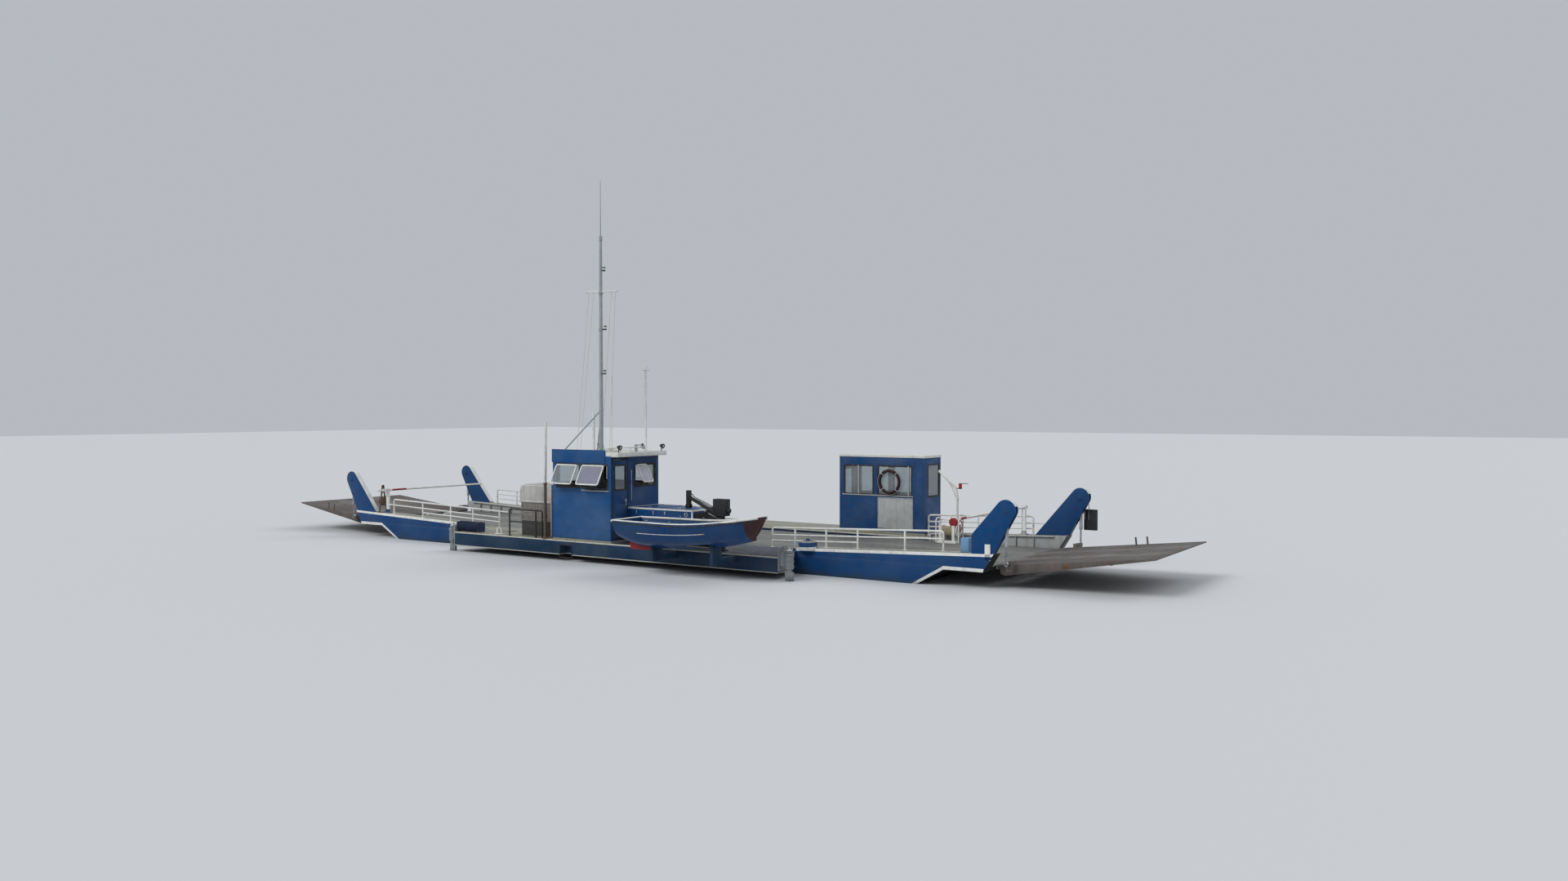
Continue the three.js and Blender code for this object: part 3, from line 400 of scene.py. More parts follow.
def hull_layout(tree):
    """Blue sides with a white chine stripe, black rakes, a dull deck and bare steel where the ramps hinge."""
    place, facing = axes_of(tree, "Object"), axes_of(tree, "Normal")
    out = math_node(tree, "ABSOLUTE", place["X"])
    sideways = math_node(tree, "ABSOLUTE", facing["Y"])
    slope = math_node(tree, "MULTIPLY", math_node(tree, "SUBTRACT", out, 9.62), 0.57)
    over = math_node(tree, "SUBTRACT", place["Z"], math_node(tree, "MINIMUM", slope, 0.41))
    stripe = all_of(tree, within(tree, over, -0.02, 0.085), above(tree, out, 9.3), above(tree, sideways, 0.5))
    rake = all_of(tree, above(tree, out, 8.5), below(tree, sideways, 0.5))
    return lay(tree, [BLUE, (rake, BLACK), (above(tree, facing["Z"], 0.5), DECK_GREY), (stripe, WHITE),
                      (above(tree, out, 11.41), STEEL)])


def bulwark_layout(tree):
    """Blue outside, a pale lining inside, a cream top and a white lip along both edges of the top."""
    place, facing = axes_of(tree, "Object"), axes_of(tree, "Normal")
    out = math_node(tree, "ABSOLUTE", place["X"])
    across = math_node(tree, "ABSOLUTE", place["Y"])
    rise = math_node(tree, "MULTIPLY", math_node(tree, "SUBTRACT", out, 6.0), 0.2 / 5.65)
    under_top = math_node(tree, "SUBTRACT", math_node(tree, "ADD", rise, 0.66), place["Z"])
    lip = all_of(tree, within(tree, under_top, -0.05, 0.065), above(tree, across, 2.61), above(tree, out, 6.1))
    inward = math_node(tree, "MULTIPLY", facing["Y"], math_node(tree, "SIGN", place["Y"]))
    end = all_of(tree, above(tree, math_node(tree, "ABSOLUTE", facing["X"]), 0.6), above(tree, out, 11.2))
    top = all_of(tree, above(tree, facing["Z"], 0.7), below(tree, place["Z"], 0.88), below(tree, under_top, 0.03))
    edge = all_of(tree, top, below(tree, across, 2.29))
    stand = all_of(tree, above(tree, place["Z"], 0.93), within(tree, out, 10.2, 10.5))
    return lay(tree, [BLUE, (below(tree, inward, -0.5), LINING), (top, CREAM), (edge, WHITE), (lip, WHITE),
                      (end, BLACK), (stand, WHITE)])


def sponson_layout(tree):
    """Blue sides darkened as painted shade, with a pale line along the top and bottom edges,
    and a deck that is cream aft and dark forward.
    """
    place, facing = axes_of(tree, "Object"), axes_of(tree, "Normal")
    deck = all_of(tree, above(tree, facing["Z"], 0.5), above(tree, place["Z"], 0.55))
    shelf = below(tree, math_node(tree, "ABSOLUTE", place["Y"]), 4.13)
    line = all_of(tree, within(tree, place["Z"], 0.562, 0.61), below(tree, facing["Z"], 0.5), shelf)
    foot = all_of(tree, within(tree, place["Z"], 0.17, 0.205), above(tree, facing["Z"], -0.5), shelf)
    gear = all_of(tree, above(tree, place["Z"], 0.61), shelf)
    forward = all_of(tree, deck, above(tree, place["X"], 1.0), below(tree, place["Y"], 0.0))
    return lay(tree,
               [SHADED_SIDE_BLUE, (deck, CREAM), (forward, DARK_DECK), (line, PALE), (foot, PALE),
                (below(tree, facing["Z"], -0.5), BLACK),
                      (gear, REEL_BLUE)])


def wall_layout(axis, outward, paint):
    """Paint outside and a pale lining inside, for a wall that faces one way."""
    def layout(tree):
        facing = axes_of(tree, "Normal")
        seen = math_node(tree, "MULTIPLY", facing[axis], outward)
        return lay(tree, [paint, (below(tree, seen, -0.5), LINING)])
    return layout


def cabinet_layout(tree):
    place = axes_of(tree, "Object")
    body = below(tree, place["Z"], 1.575)
    return lay(tree,
               [(0.45, 0.44, 0.41), (body, (0.24, 0.215, 0.19)),
                (below(tree, place["Z"], 1.035), (0.05, 0.045, 0.042))])


def pole_layout(tree):
    place = axes_of(tree, "Object")
    return lay(tree, [(0.68, 0.68, 0.64), (below(tree, place["Z"], 2.2), (0.12, 0.075, 0.055))])


def boat_layout(tree):
    """Blue planks with a dark red-brown bow."""
    place = axes_of(tree, "Object")
    return lay(tree, [(0.0005, 0.042, 0.14), (above(tree, place["X"], 6.25), (0.045, 0.012, 0.014))])


print("colour layouts ready")

# %% Painted finishes
hull_paint = painted("hull_paint", BLUE, scheme=hull_layout, tide=0.17, fade=0.12, runs=0.3, rust=0.2, gloss=0.42)
bulwark_paint = painted("bulwark_paint", BLUE, scheme=bulwark_layout, fade=0.12, runs=0.3, rust=0.2)
sponson_paint_and_shade = painted("sponson_paint_and_shade", BLUE, scheme=sponson_layout, tide=0.2, fade=0.15, runs=0.35, rust=0.22)
blue_paint = painted("blue_paint", BLUE, fade=0.1, runs=0.2, rust=0.12)
board_paint = painted("board_paint", BOARD_BLUE, gloss=0.36, fade=0.12, runs=0.1, rust=0.0, edges=0.25)
white_paint = painted("white_paint", (0.74, 0.74, 0.7), gloss=0.42, fade=0.1, runs=0.25, rust=0.16, rust_size=5.0)
cream_paint = painted("cream_paint", CREAM, gloss=0.7, fade=0.2, runs=0.2, rust=0.2, bump=0.5)
lining_paint = painted("lining_paint", LINING, gloss=0.5, fade=0.2, runs=0.3, rust=0.2)
grey_paint = painted("grey_paint", (0.25, 0.27, 0.28), gloss=0.45, rust=0.18, tide=0.1)
mast_paint = painted("mast_paint", (0.33, 0.36, 0.38), gloss=0.4, rust=0.1)
dark_paint = painted("dark_paint", (0.022, 0.023, 0.026), gloss=0.42, fade=0.1, runs=0.1, rust=0.14)
black_paint = painted("black_paint", BLACK, gloss=0.5, fade=0.1, rust=0.12)
red_paint = painted("red_paint", (0.3, 0.018, 0.02), gloss=0.42, fade=0.2, rust=0.12)
cabinet_paint = painted("cabinet_paint", CREAM, scheme=cabinet_layout, gloss=0.5, rust=0.22, runs=0.4)
pole_paint = painted("pole_paint", CREAM, scheme=pole_layout, gloss=0.5, rust=0.25)
maroon_paint = painted("maroon_paint", (0.03, 0.008, 0.01), gloss=0.5, fade=0.1, rust=0.0)
reel_paint = painted("reel_paint", REEL_BLUE, gloss=0.45, fade=0.1, rust=0.1)
brown_steel = painted("brown_steel", (0.13, 0.085, 0.06), gloss=0.65, fade=0.15, rust=0.5)
boat_paint = painted("boat_paint", BLUE, scheme=boat_layout, gloss=0.24, fade=0.1, runs=0.15, rust=0.0,
                     edges=0.2, bump=0.08)
pale_blue_paint = painted("pale_blue_paint", (0.16, 0.3, 0.5), gloss=0.45, rust=0.12)
print("painted finishes:", len(bpy.data.materials))

# %% [markdown]
# The ramps and the car deck are bare or thinly painted steel that tyres keep scoured. Their raised tread is a bump:
# two crossing waves, cut off at a height, give rows of small lozenges. Rust sits in patches, and paler scoured
# tracks run the length of the ramp where wheels pass.

# %% Tread plate
def tread(tree, where, pitch=0.05):
    """Height of a lozenge tread on a plate that lies flat."""
    axes = add_node(tree, "ShaderNodeSeparateXYZ", {"Vector": where}).outputs
    wave = []
    for sign in (1, -1):
        along = math_node(tree, "ADD", axes["X"], math_node(tree, "MULTIPLY", axes["Y"], sign))
        wave.append(math_node(tree, "SINE", math_node(tree, "MULTIPLY", along, math.pi / pitch)))
    return remap(tree, math_node(tree, "MULTIPLY", wave[0], wave[1]), 0.25, 0.5)


def tread_plate(name, paint, worn, rust):
    material, tree, shader = blank(name)
    where = place_of(tree)
    facing = axes_of(tree, "Normal")
    axes = add_node(tree, "ShaderNodeSeparateXYZ", {"Vector": where}).outputs
    track = math_node(tree, "ABSOLUTE", math_node(tree, "SUBTRACT", math_node(tree, "ABSOLUTE", axes["Y"]), 0.78))
    ragged = math_node(tree, "ADD", track, remap(tree, noise(tree, where, 1.4, 5.0), 0.3, 0.7, -0.25, 0.25))
    scoured = math_node(tree, "MULTIPLY", remap(tree, ragged, 0.42, 0.1), above(tree, facing["Z"], 0.5))
    base = mixed(tree, math_node(tree, "MULTIPLY", scoured, 0.55), (*paint, 1), (*worn, 1))
    aged = use_group(tree, WEATHER, Paint=base, Dirt=(0.05, 0.038, 0.028, 1), Fade=0.3, Runs=0.35, Gloss=0.62)
    worn_edge = use_group(tree, EDGES, Paint=aged["Color"], Bare=(0.3, 0.26, 0.23, 1), Amount=0.5)
    rusty = use_group(tree, RUST, Paint=worn_edge["Color"], Amount=rust, Size=2.2)
    tree.links.new(rusty["Color"], shader.inputs["Base Color"])
    tree.links.new(aged["Roughness"], shader.inputs["Roughness"])
    shader.inputs["Metallic"].default_value = 0.15
    raised = math_node(tree, "MULTIPLY", tread(tree, where), above(tree, facing["Z"], 0.5))
    set_bump(tree, shader, math_node(tree, "ADD", raised, math_node(tree, "MULTIPLY", aged["Height"], 0.5)),
             0.5, 0.005)
    return material


ramp_steel = tread_plate("ramp_steel", STEEL, (0.2, 0.185, 0.17), 0.38)
deck_steel = tread_plate("deck_steel", DECK_GREY, (0.25, 0.24, 0.22), 0.25)
print("tread plates ready")

# %% [markdown]
# The last finishes are few: clear panes, a polished rod, cast bronze, rubber, varnished wood, rope and canvas. Wood
# gets its grain from stretched noise along a plank. Rope and canvas get a fine weave from crossing waves.

# %% Panes and bare metal
def plain(name, color, roughness, **sockets):
    material, tree, shader = blank(name)
    shader.inputs["Base Color"].default_value = (*color, 1)
    shader.inputs["Roughness"].default_value = roughness
    for label, value in sockets.items():
        shader.inputs[label.replace("_", " ")].default_value = value
    return material, tree, shader


def window_pane():
    material, tree, shader = plain("window_pane", (0.66, 0.72, 0.75), 0.04, Transmission_Weight=0.82, IOR=1.45)
    smear = noise(tree, place_of(tree), 4.0, 5.0)
    tree.links.new(remap(tree, smear, 0.4, 0.75, 0.02, 0.16), shader.inputs["Roughness"])
    return material


def bare_metal(name, color, roughness, scratches):
    material, tree, shader = plain(name, color, roughness, Metallic=1.0)
    where = place_of(tree)
    fine = noise(tree, where, 30.0, 5.0)
    stained = noise(tree, where, 5.0, 6.0)
    dull = tuple(c * 0.45 for c in color)
    tree.links.new(mixed(tree, remap(tree, stained, 0.5, 0.75), (*color, 1), (*dull, 1)),
                   shader.inputs["Base Color"])
    tree.links.new(remap(tree, fine, 0.3, 0.7, roughness, roughness + scratches), shader.inputs["Roughness"])
    set_bump(tree, shader, fine, 0.1, 0.002)
    return material


def lamp_lens(name, color):
    material, tree, shader = plain(name, color, 0.15, Transmission_Weight=0.35, IOR=1.49)
    ribs = add_node(tree, "ShaderNodeTexWave", {"Vector": place_of(tree), "Scale": 22.0}, bands_direction="Z")
    set_bump(tree, shader, ribs.outputs["Fac"], 0.4, 0.004)
    return material


pane_glass = window_pane()
rod_chrome = bare_metal("rod_chrome", (0.4, 0.41, 0.43), 0.16, 0.14)
bare_bronze = bare_metal("bare_bronze", (0.5, 0.31, 0.12), 0.28, 0.2)
galvanised = bare_metal("galvanised", (0.42, 0.44, 0.45), 0.42, 0.2)
red_lens = lamp_lens("red_lens", (0.55, 0.02, 0.02))
white_lens = lamp_lens("white_lens", (0.85, 0.85, 0.8))
print("panes and bare metal ready")

# %% Wood, rubber, rope and canvas
def wood_grain():
    material, tree, shader = plain("varnished_wood", (0.3, 0.17, 0.07), 0.35)
    where = place_of(tree)
    grain = noise(tree, where, 4.0, 8.0, 0.65, stretch=(0.6, 12, 12))
    rings = noise(tree, where, 1.2, 2.0, stretch=(0.5, 6, 6))
    both = math_node(tree, "ADD", math_node(tree, "MULTIPLY", grain, 0.7), math_node(tree, "MULTIPLY", rings, 0.3))
    color = mixed(tree, remap(tree, both, 0.35, 0.65), (0.13, 0.065, 0.025, 1), (0.38, 0.22, 0.1, 1))
    tree.links.new(color, shader.inputs["Base Color"])
    tree.links.new(remap(tree, grain, 0.3, 0.7, 0.3, 0.55), shader.inputs["Roughness"])
    set_bump(tree, shader, grain, 0.25, 0.003)
    return material


def soft_rubber():
    material, tree, shader = plain("black_rubber", (0.018, 0.018, 0.019), 0.75)
    dust = noise(tree, place_of(tree), 9.0, 6.0)
    color = mixed(tree, remap(tree, dust, 0.45, 0.75, 0.0, 0.5), (0.014, 0.014, 0.015, 1), (0.11, 0.1, 0.09, 1))
    tree.links.new(color, shader.inputs["Base Color"])
    set_bump(tree, shader, noise(tree, place_of(tree), 60.0, 3.0), 0.3, 0.002)
    return material


def woven(name, light, dark, pitch):
    material, tree, shader = plain(name, light, 0.9, Sheen_Weight=0.3)
    where = place_of(tree)
    axes = add_node(tree, "ShaderNodeSeparateXYZ", {"Vector": where}).outputs
    across = math_node(tree, "SINE", math_node(tree, "MULTIPLY", axes["X"], math.pi / pitch))
    over = math_node(tree, "ADD", axes["Y"], axes["Z"])
    weave = math_node(tree, "MULTIPLY", across,
                      math_node(tree, "SINE", math_node(tree, "MULTIPLY", over, math.pi / pitch)))
    soiled = noise(tree, where, 7.0, 6.0)
    color = mixed(tree, remap(tree, soiled, 0.4, 0.75), (*light, 1), (*dark, 1))
    tree.links.new(color, shader.inputs["Base Color"])
    set_bump(tree, shader, remap(tree, weave, -1, 1), 0.35, 0.002)
    return material


varnished_wood = wood_grain()
black_rubber = soft_rubber()
pale_canvas = woven("pale_canvas", (0.66, 0.65, 0.6), (0.4, 0.38, 0.33), 0.004)
laid_rope = woven("laid_rope", (0.42, 0.36, 0.24), (0.2, 0.16, 0.1), 0.009)
print("finishes in all:", len(bpy.data.materials))

# %% [markdown]
# Pieces are built with bmesh operators. Each helper adds one closed form to a mesh in the making: a box, a round
# bar, a ball, a plate cut to an outline, a ring, or a pipe that is drawn at one end and extruded from point to
# point. One call at the end bevels the sharp edges, since no real edge is perfectly sharp, and gives the piece its
# finish, its body and its material slot.

# %% Forms: box, bar, ball
def add_box(bm, low, high):
    low, high = Vector(low), Vector(high)
    place = Matrix.Translation((low + high) / 2) @ Matrix.Diagonal((*(high - low), 1))
    return bmesh.ops.create_cube(bm, size=1, matrix=place)["verts"]


def facing_matrix(centre, direction):
    """Puts a form made round Z at a centre, with its Z along a direction."""
    return Matrix.Translation(centre) @ Vector(direction).to_track_quat("Z", "Y").to_matrix().to_4x4()


def add_bar(bm, start, end, radius, sides=12, end_radius=None):
    start, end = Vector(start), Vector(end)
    place = facing_matrix((start + end) / 2, end - start)
    far = radius if end_radius is None else end_radius
    return bmesh.ops.create_cone(bm, cap_ends=True, segments=sides, radius1=radius, radius2=far,
                                 depth=(end - start).length, matrix=place)["verts"]


def add_ball(bm, centre, size, sides=14):
    """A ball, or an egg where size has three different half widths."""
    half = (size,) * 3 if isinstance(size, (int, float)) else size
    place = Matrix.Translation(centre) @ Matrix.Diagonal((*half, 1))
    return bmesh.ops.create_uvsphere(bm, u_segments=sides, v_segments=sides // 2, radius=1, matrix=place)["verts"]


print("box, bar and ball ready")

# %% Forms: plate, ring, pipe
PLANES = {
    "X": lambda a, b, c: (c, a, b),
    "Y": lambda a, b, c: (a, c, b),
    "Z": lambda a, b, c: (a, b, c),
}


def add_plate(bm, outline, axis, start, end):
    """An outline of two coordinates, extruded along the third axis from start to end."""
    place = PLANES[axis]
    face = bm.faces.new([bm.verts.new(place(a, b, start)) for a, b in outline])
    made = bmesh.ops.extrude_face_region(bm, geom=[face])["geom"]
    moved = [v for v in made if isinstance(v, bmesh.types.BMVert)]
    bmesh.ops.translate(bm, verts=moved, vec=place(0, 0, end - start))
    return moved


def add_ring(bm, centre, direction, radius, thickness, steps=36, sides=10):
    """A ring: a small circle spun all the way round."""
    way = Vector(direction).normalized()
    out = way.orthogonal().normalized()
    made = bmesh.ops.create_circle(bm, cap_ends=False, segments=sides, radius=thickness,
                                   matrix=facing_matrix(Vector(centre) + out * radius, way.cross(out)))["verts"]
    edges = list({e for v in made for e in v.link_edges})
    bmesh.ops.spin(bm, geom=made + edges, cent=centre, axis=way, dvec=(0, 0, 0), angle=math.tau, steps=steps,
                   use_merge=True)


def add_pipe(bm, points, radius, sides=10):
    points = [Vector(p) for p in points]
    ways = [(b - a).normalized() for a, b in zip(points, points[1:])]
    turns = [ways[0], *[(a + b).normalized() for a, b in zip(ways, ways[1:])], ways[-1]]
    ring = bmesh.ops.create_circle(bm, cap_ends=True, segments=sides, radius=radius,
                                   matrix=facing_matrix(points[0], turns[0]))["verts"]
    cap = ring[0].link_faces[0]
    for i in range(1, len(points)):
        last_cap = cap
        made = bmesh.ops.extrude_face_region(bm, geom=[cap])["geom"]
        cap = [f for f in made if isinstance(f, bmesh.types.BMFace)][0]
        if i > 1 and last_cap.is_valid:
            bmesh.ops.delete(bm, geom=[last_cap], context="FACES_ONLY")
        bmesh.ops.translate(bm, verts=cap.verts, vec=points[i] - points[i - 1])
        turn = turns[i - 1].rotation_difference(turns[i]).to_matrix()
        bmesh.ops.rotate(bm, verts=cap.verts, cent=points[i], matrix=turn)


def bent(points, radius, steps=4):
    """A route with its corners turned into bends."""
    points = [Vector(p) for p in points]
    route = [points[0]]
    for before, corner, after in zip(points, points[1:], points[2:]):
        back, on = before - corner, after - corner
        reach = min(radius, back.length * 0.48, on.length * 0.48)
        start, end = corner + back.normalized() * reach, corner + on.normalized() * reach
        for i in range(steps + 1):
            t = i / steps
            route.append(start.lerp(corner, t).lerp(corner.lerp(end, t), t))
    return [*route, points[-1]]


def rounded(a0, a1, b0, b1, radius, steps=4):
    """The outline of a rectangle with round corners."""
    centres = ((a1 - radius, b0 + radius, -90), (a1 - radius, b1 - radius, 0), (a0 + radius, b1 - radius, 90),
               (a0 + radius, b0 + radius, 180))
    outline = []
    for a, b, turn in centres:
        for i in range(steps + 1):
            angle = math.radians(turn + 90 * i / steps)
            outline.append((a + radius * math.cos(angle), b + radius * math.sin(angle)))
    return outline


def add_frame(bm, outline, axis, start, end, width):
    """A frame of even width inside an outline: inset, opened and extruded along the third axis."""
    place = PLANES[axis]
    face = bm.faces.new([bm.verts.new(place(a, b, start)) for a, b in outline])
    face.normal_update()
    rim = bmesh.ops.inset_individual(bm, faces=[face], thickness=width, use_even_offset=True)["faces"]
    bmesh.ops.delete(bm, geom=[face], context="FACES_ONLY")
    made = bmesh.ops.extrude_face_region(bm, geom=rim)["geom"]
    moved = [v for v in made if isinstance(v, bmesh.types.BMVert)]
    bmesh.ops.translate(bm, verts=moved, vec=place(0, 0, end - start))


def add_lathe(bm, profile, centre, direction, steps=32):
    """A profile of radius and height, spun round a direction through a centre."""
    place = facing_matrix(centre, direction)
    verts = [bm.verts.new(place @ Vector((radius, 0, height))) for radius, height in profile]
    edges = [bm.edges.new(pair) for pair in zip(verts, verts[1:])]
    axis = place.to_3x3() @ Vector((0, 0, 1))
    bmesh.ops.spin(bm, geom=verts + edges, cent=centre, axis=axis, dvec=(0, 0, 0), angle=math.tau, steps=steps,
                   use_merge=True)
    back = place.inverted()
    near_axis = [v for v in bm.verts if v.is_valid and (back @ v.co).to_2d().length < 0.0001]
    bmesh.ops.remove_doubles(bm, verts=near_axis, dist=0.00005)


def turn_about(bm, centre, axis, degrees):
    """Turns all that is in the mesh so far about a line."""
    turn = Matrix.Rotation(math.radians(degrees), 3, axis)
    bmesh.ops.rotate(bm, verts=bm.verts, cent=centre, matrix=turn)


print("plate, frame, ring, lathe and pipe ready")

# %% Finishing a piece
SHARP = math.radians(38)


def soften(bm, bevel, sharp=SHARP):
    """Outward faces, a small bevel on sharp edges and smooth shading elsewhere."""
    bmesh.ops.recalc_face_normals(bm, faces=bm.faces)
    edges = [e for e in bm.edges if e.is_manifold and e.calc_face_angle(0) > sharp]
    if bevel and edges:
        bmesh.ops.bevel(bm, geom=edges, offset=bevel, offset_type="OFFSET", segments=2, profile=0.5,
                        affect="EDGES", material=-1, clamp_overlap=True)
    for face in bm.faces:
        face.smooth = True
    for edge in bm.edges:
        edge.smooth = not edge.is_manifold or edge.calc_face_angle(0) < sharp


def shell_of(face):
    """All the faces that are joined to a face through shared edges."""
    shell, waiting = {face}, [face]
    while waiting:
        for edge in waiting.pop().edges:
            for other in edge.link_faces:
                if other not in shell:
                    shell.add(other)
                    waiting.append(other)
    return shell


def face_outward(bm):
    """Turns the faces of each shell outwards. A shell that is inside out has a volume below zero."""
    bmesh.ops.recalc_face_normals(bm, faces=bm.faces)
    bm.normal_update()
    done = set()
    for face in list(bm.faces):
        if face in done:
            continue
        shell = shell_of(face)
        done |= shell
        if sum(f.calc_center_median().dot(f.normal) * f.calc_area() for f in shell) < 0:
            bmesh.ops.reverse_faces(bm, faces=list(shell))


def piece(name, bm, finish, body="hull", bevel=0.003, replaces=()):
    """Turns a mesh in the making into a piece of the boat."""
    face_outward(bm)
    soften(bm, bevel)
    bmesh.ops.dissolve_degenerate(bm, dist=0.00002, edges=bm.edges)
    data = bpy.data.meshes.new(name)
    bm.to_mesh(data)
    bm.free()
    made = bpy.data.objects.new(name, data)
    bpy.context.scene.collection.objects.link(made)
    data.materials.append(finish)
    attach(made, body)
    if replaces:
        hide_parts(*replaces)
    return made


def body_of(node):
    """The body that a node belongs to."""
    for name, nodes in frame["record"]["behaviour"]["bodies"].items():
        if node in nodes:
            return name


def dressed(node, finish, bevel=0.005):
    """A node's own form with its edges eased: its copy is merged, its flat faces are joined, and edges bevelled."""
    bm = bmesh.new()
    bm.from_mesh(frame["nodes"][node].data)
    bmesh.ops.remove_doubles(bm, verts=bm.verts, dist=0.0001)
    bmesh.ops.dissolve_limit(bm, angle_limit=math.radians(1.5), verts=bm.verts, edges=bm.edges)
    return piece(node + "_dressed", bm, finish, body_of(node), bevel, [node])


print("finishing ready")

# %% [markdown]
# The hull and its bulwarks are plate boxes. Their packed forms are already right, so each one is only dressed: its
# copy is cleaned, its long edges get a small bevel that catches the light, and it takes its paint.

# %% Hull, bulwarks and sponsons
CORNERS = [("near_left", -1, -1), ("near_right", 1, -1), ("far_left", -1, 1), ("far_right", 1, 1)]


def dress(node, finish, bevel=0.005):
    return dressed(node, finish, bevel)


dress("hull_pontoon", hull_paint, 0.008)
dress("sponson_near", sponson_paint_and_shade, 0.006)
dress("sponson_far", sponson_paint_and_shade, 0.008)
for name, end, side in CORNERS:
    dress("bulwark_" + name, bulwark_paint, 0.006)
print("hull dressed")

# %% [markdown]
# Real plating is never one sheet. The car deck is laid as rows of tread plates with a narrow weld gap between them,
# and the bulwarks are stiffened by ribs on their inner face. Both come from a box that is repeated in a loop.

# %% Deck plates and bulwark ribs
deck = bmesh.new()
PLATE_LONG, PLATE_WIDE, SEAM = 2.26, 1.5, 0.006
for i in range(-5, 5):
    for j in (-1.5, -0.5, 0.5):
        low = (i * PLATE_LONG + SEAM, j * PLATE_WIDE + SEAM, DECK)
        add_box(deck, low, (low[0] + PLATE_LONG - SEAM, low[1] + PLATE_WIDE - SEAM, DECK + SKIN))
piece("deck_plates", deck, deck_steel, bevel=0)

for name, end, side in CORNERS:
    ribs = bmesh.new()
    start = 7.6 if name == "far_right" else 6.2
    x = start
    while x < 11.2:
        top = bulwark_top(x)
        add_box(ribs, (end * x - 0.006, side * INNER - 0.06 * (side > 0), DECK + SKIN),
                (end * x + 0.006, side * INNER + 0.06 * (side < 0), top - 0.03))
        x += 0.52
    rail = [(end * start, bulwark_top(start) - 0.03), (end * 11.3, bulwark_top(11.3) - 0.03),
            (end * 11.3, bulwark_top(11.3) - 0.005), (end * start, bulwark_top(start) - 0.005)]
    add_plate(ribs, rail, "Y", side * (INNER - 0.06), side * (INNER + 0.001))
    piece("bulwark_ribs_" + name, ribs, lining_paint, bevel=0.002)
print("plates and ribs laid")

# %% Wings
LOBE_MIDDLE = (11.93, 1.92)
LOBE_RADIUS = 0.25
PIN = (11.93, 1.88)
WING_FACES = (2.48, 2.66)


def wing_rim(name, end, first=22, last=139):
    """Points round the wing's edge, from the lobe's outer side over its top and down the slope."""
    lobe = []
    for i in range(15):
        turn = math.radians(first + (last - first) * i / 14)
        lobe.append((LOBE_MIDDLE[0] + LOBE_RADIUS * math.cos(turn), LOBE_MIDDLE[1] + LOBE_RADIUS * math.sin(turn)))
    foot = (11.07, 1.31) if name == "near_right" else (10.68, bulwark_top(10.68) + 0.02)
    return [(end * x, z) for x, z in [*lobe, foot]]


def offset_line(points, distance):
    """The same line of points, moved sideways by a distance."""
    moved = []
    for i, (x, z) in enumerate(points):
        before, after = points[max(i - 1, 0)], points[min(i + 1, len(points) - 1)]
        way = Vector((after[0] - before[0], after[1] - before[1])).normalized()
        moved.append((x - way.y * distance, z + way.x * distance))
    return moved


for name, end, side in CORNERS:
    dress("wing_" + name, blue_paint, 0.006)
    rim = wing_rim(name, end)
    strip = bmesh.new()
    outline = [*offset_line(rim, -end * 0.006), *reversed(offset_line(rim, end * 0.001))]
    add_plate(strip, outline, "Y", side * 2.49, side * 2.65)
    piece("wing_rim_" + name, strip, white_paint, bevel=0.002)
    boss = bmesh.new()
    for face, way in zip(WING_FACES, (-1, 1)):
        y = side * face
        step = side * way
        middle_x, middle_z = end * PIN[0], PIN[1]
        add_bar(boss, (middle_x, y, middle_z), (middle_x, y + step * 0.012, middle_z), 0.07, 24)
        add_bar(boss, (middle_x, y + step * 0.01, middle_z), (middle_x, y + step * 0.03, middle_z), 0.03, 6)
        for i in range(6):
            turn = math.tau * i / 6
            x, z = middle_x + 0.052 * math.cos(turn), middle_z + 0.052 * math.sin(turn)
            add_bar(boss, (x, y, z), (x, y + step * 0.02, z), 0.008, 6)
    piece("wing_boss_" + name, boss, blue_paint, bevel=0.001)
print("wings dressed")

# %% Ramps and lifting cylinders
for end, name in ((1, "right"), (-1, "left")):
    dress("ramp_" + name, ramp_steel, 0.004)
for name, end, side in CORNERS:
    dress("cylinder_barrel_" + name, mast_paint, 0.003)
    dress("cylinder_rod_" + name, rod_chrome, 0.002)
print("ramps dressed")

# %% [markdown]
# The imported railings are six-sided bars. Here each run is drawn again as round pipe in the same place: the top rail
# bends down into its end posts, and each post has a small foot plate.

# %% Railings
RAILS = {
    "near_left": {"y": -2.6, "posts": [-9.83, -8.42, -7.1, -6.08, -4.9], "top": (-9.83, -4.52),
                  "low": [(-10.18, -4.9, 0.19), (-8.42, -4.9, 0.33)]},
    "near_right": {"y": -2.36, "posts": [5.14, 5.86, 6.82, 7.76, 9.12, 10.18], "top": (5.14, 10.18),
                   "low": [(5.14, 10.18, 0.19), (5.14, 7.76, 0.34)]},
    "far_left": {"y": 2.6, "posts": [-10.4, -9.4, -8.4, -7.4, -6.4], "top": (-10.4, -6.4),
                 "low": [(-10.4, -6.4, 0.17), (-10.4, -6.4, 0.33)]},
    "far_right": {"y": 2.6, "posts": [7.33, 8.05, 8.9, 9.75, 10.56], "top": (7.33, 10.56),
                  "low": [(7.33, 10.86, 0.19), (7.33, 10.56, 0.34)]},
}
RAIL_RISE = 0.5


def rail_top(x):
    return bulwark_top(x) + RAIL_RISE


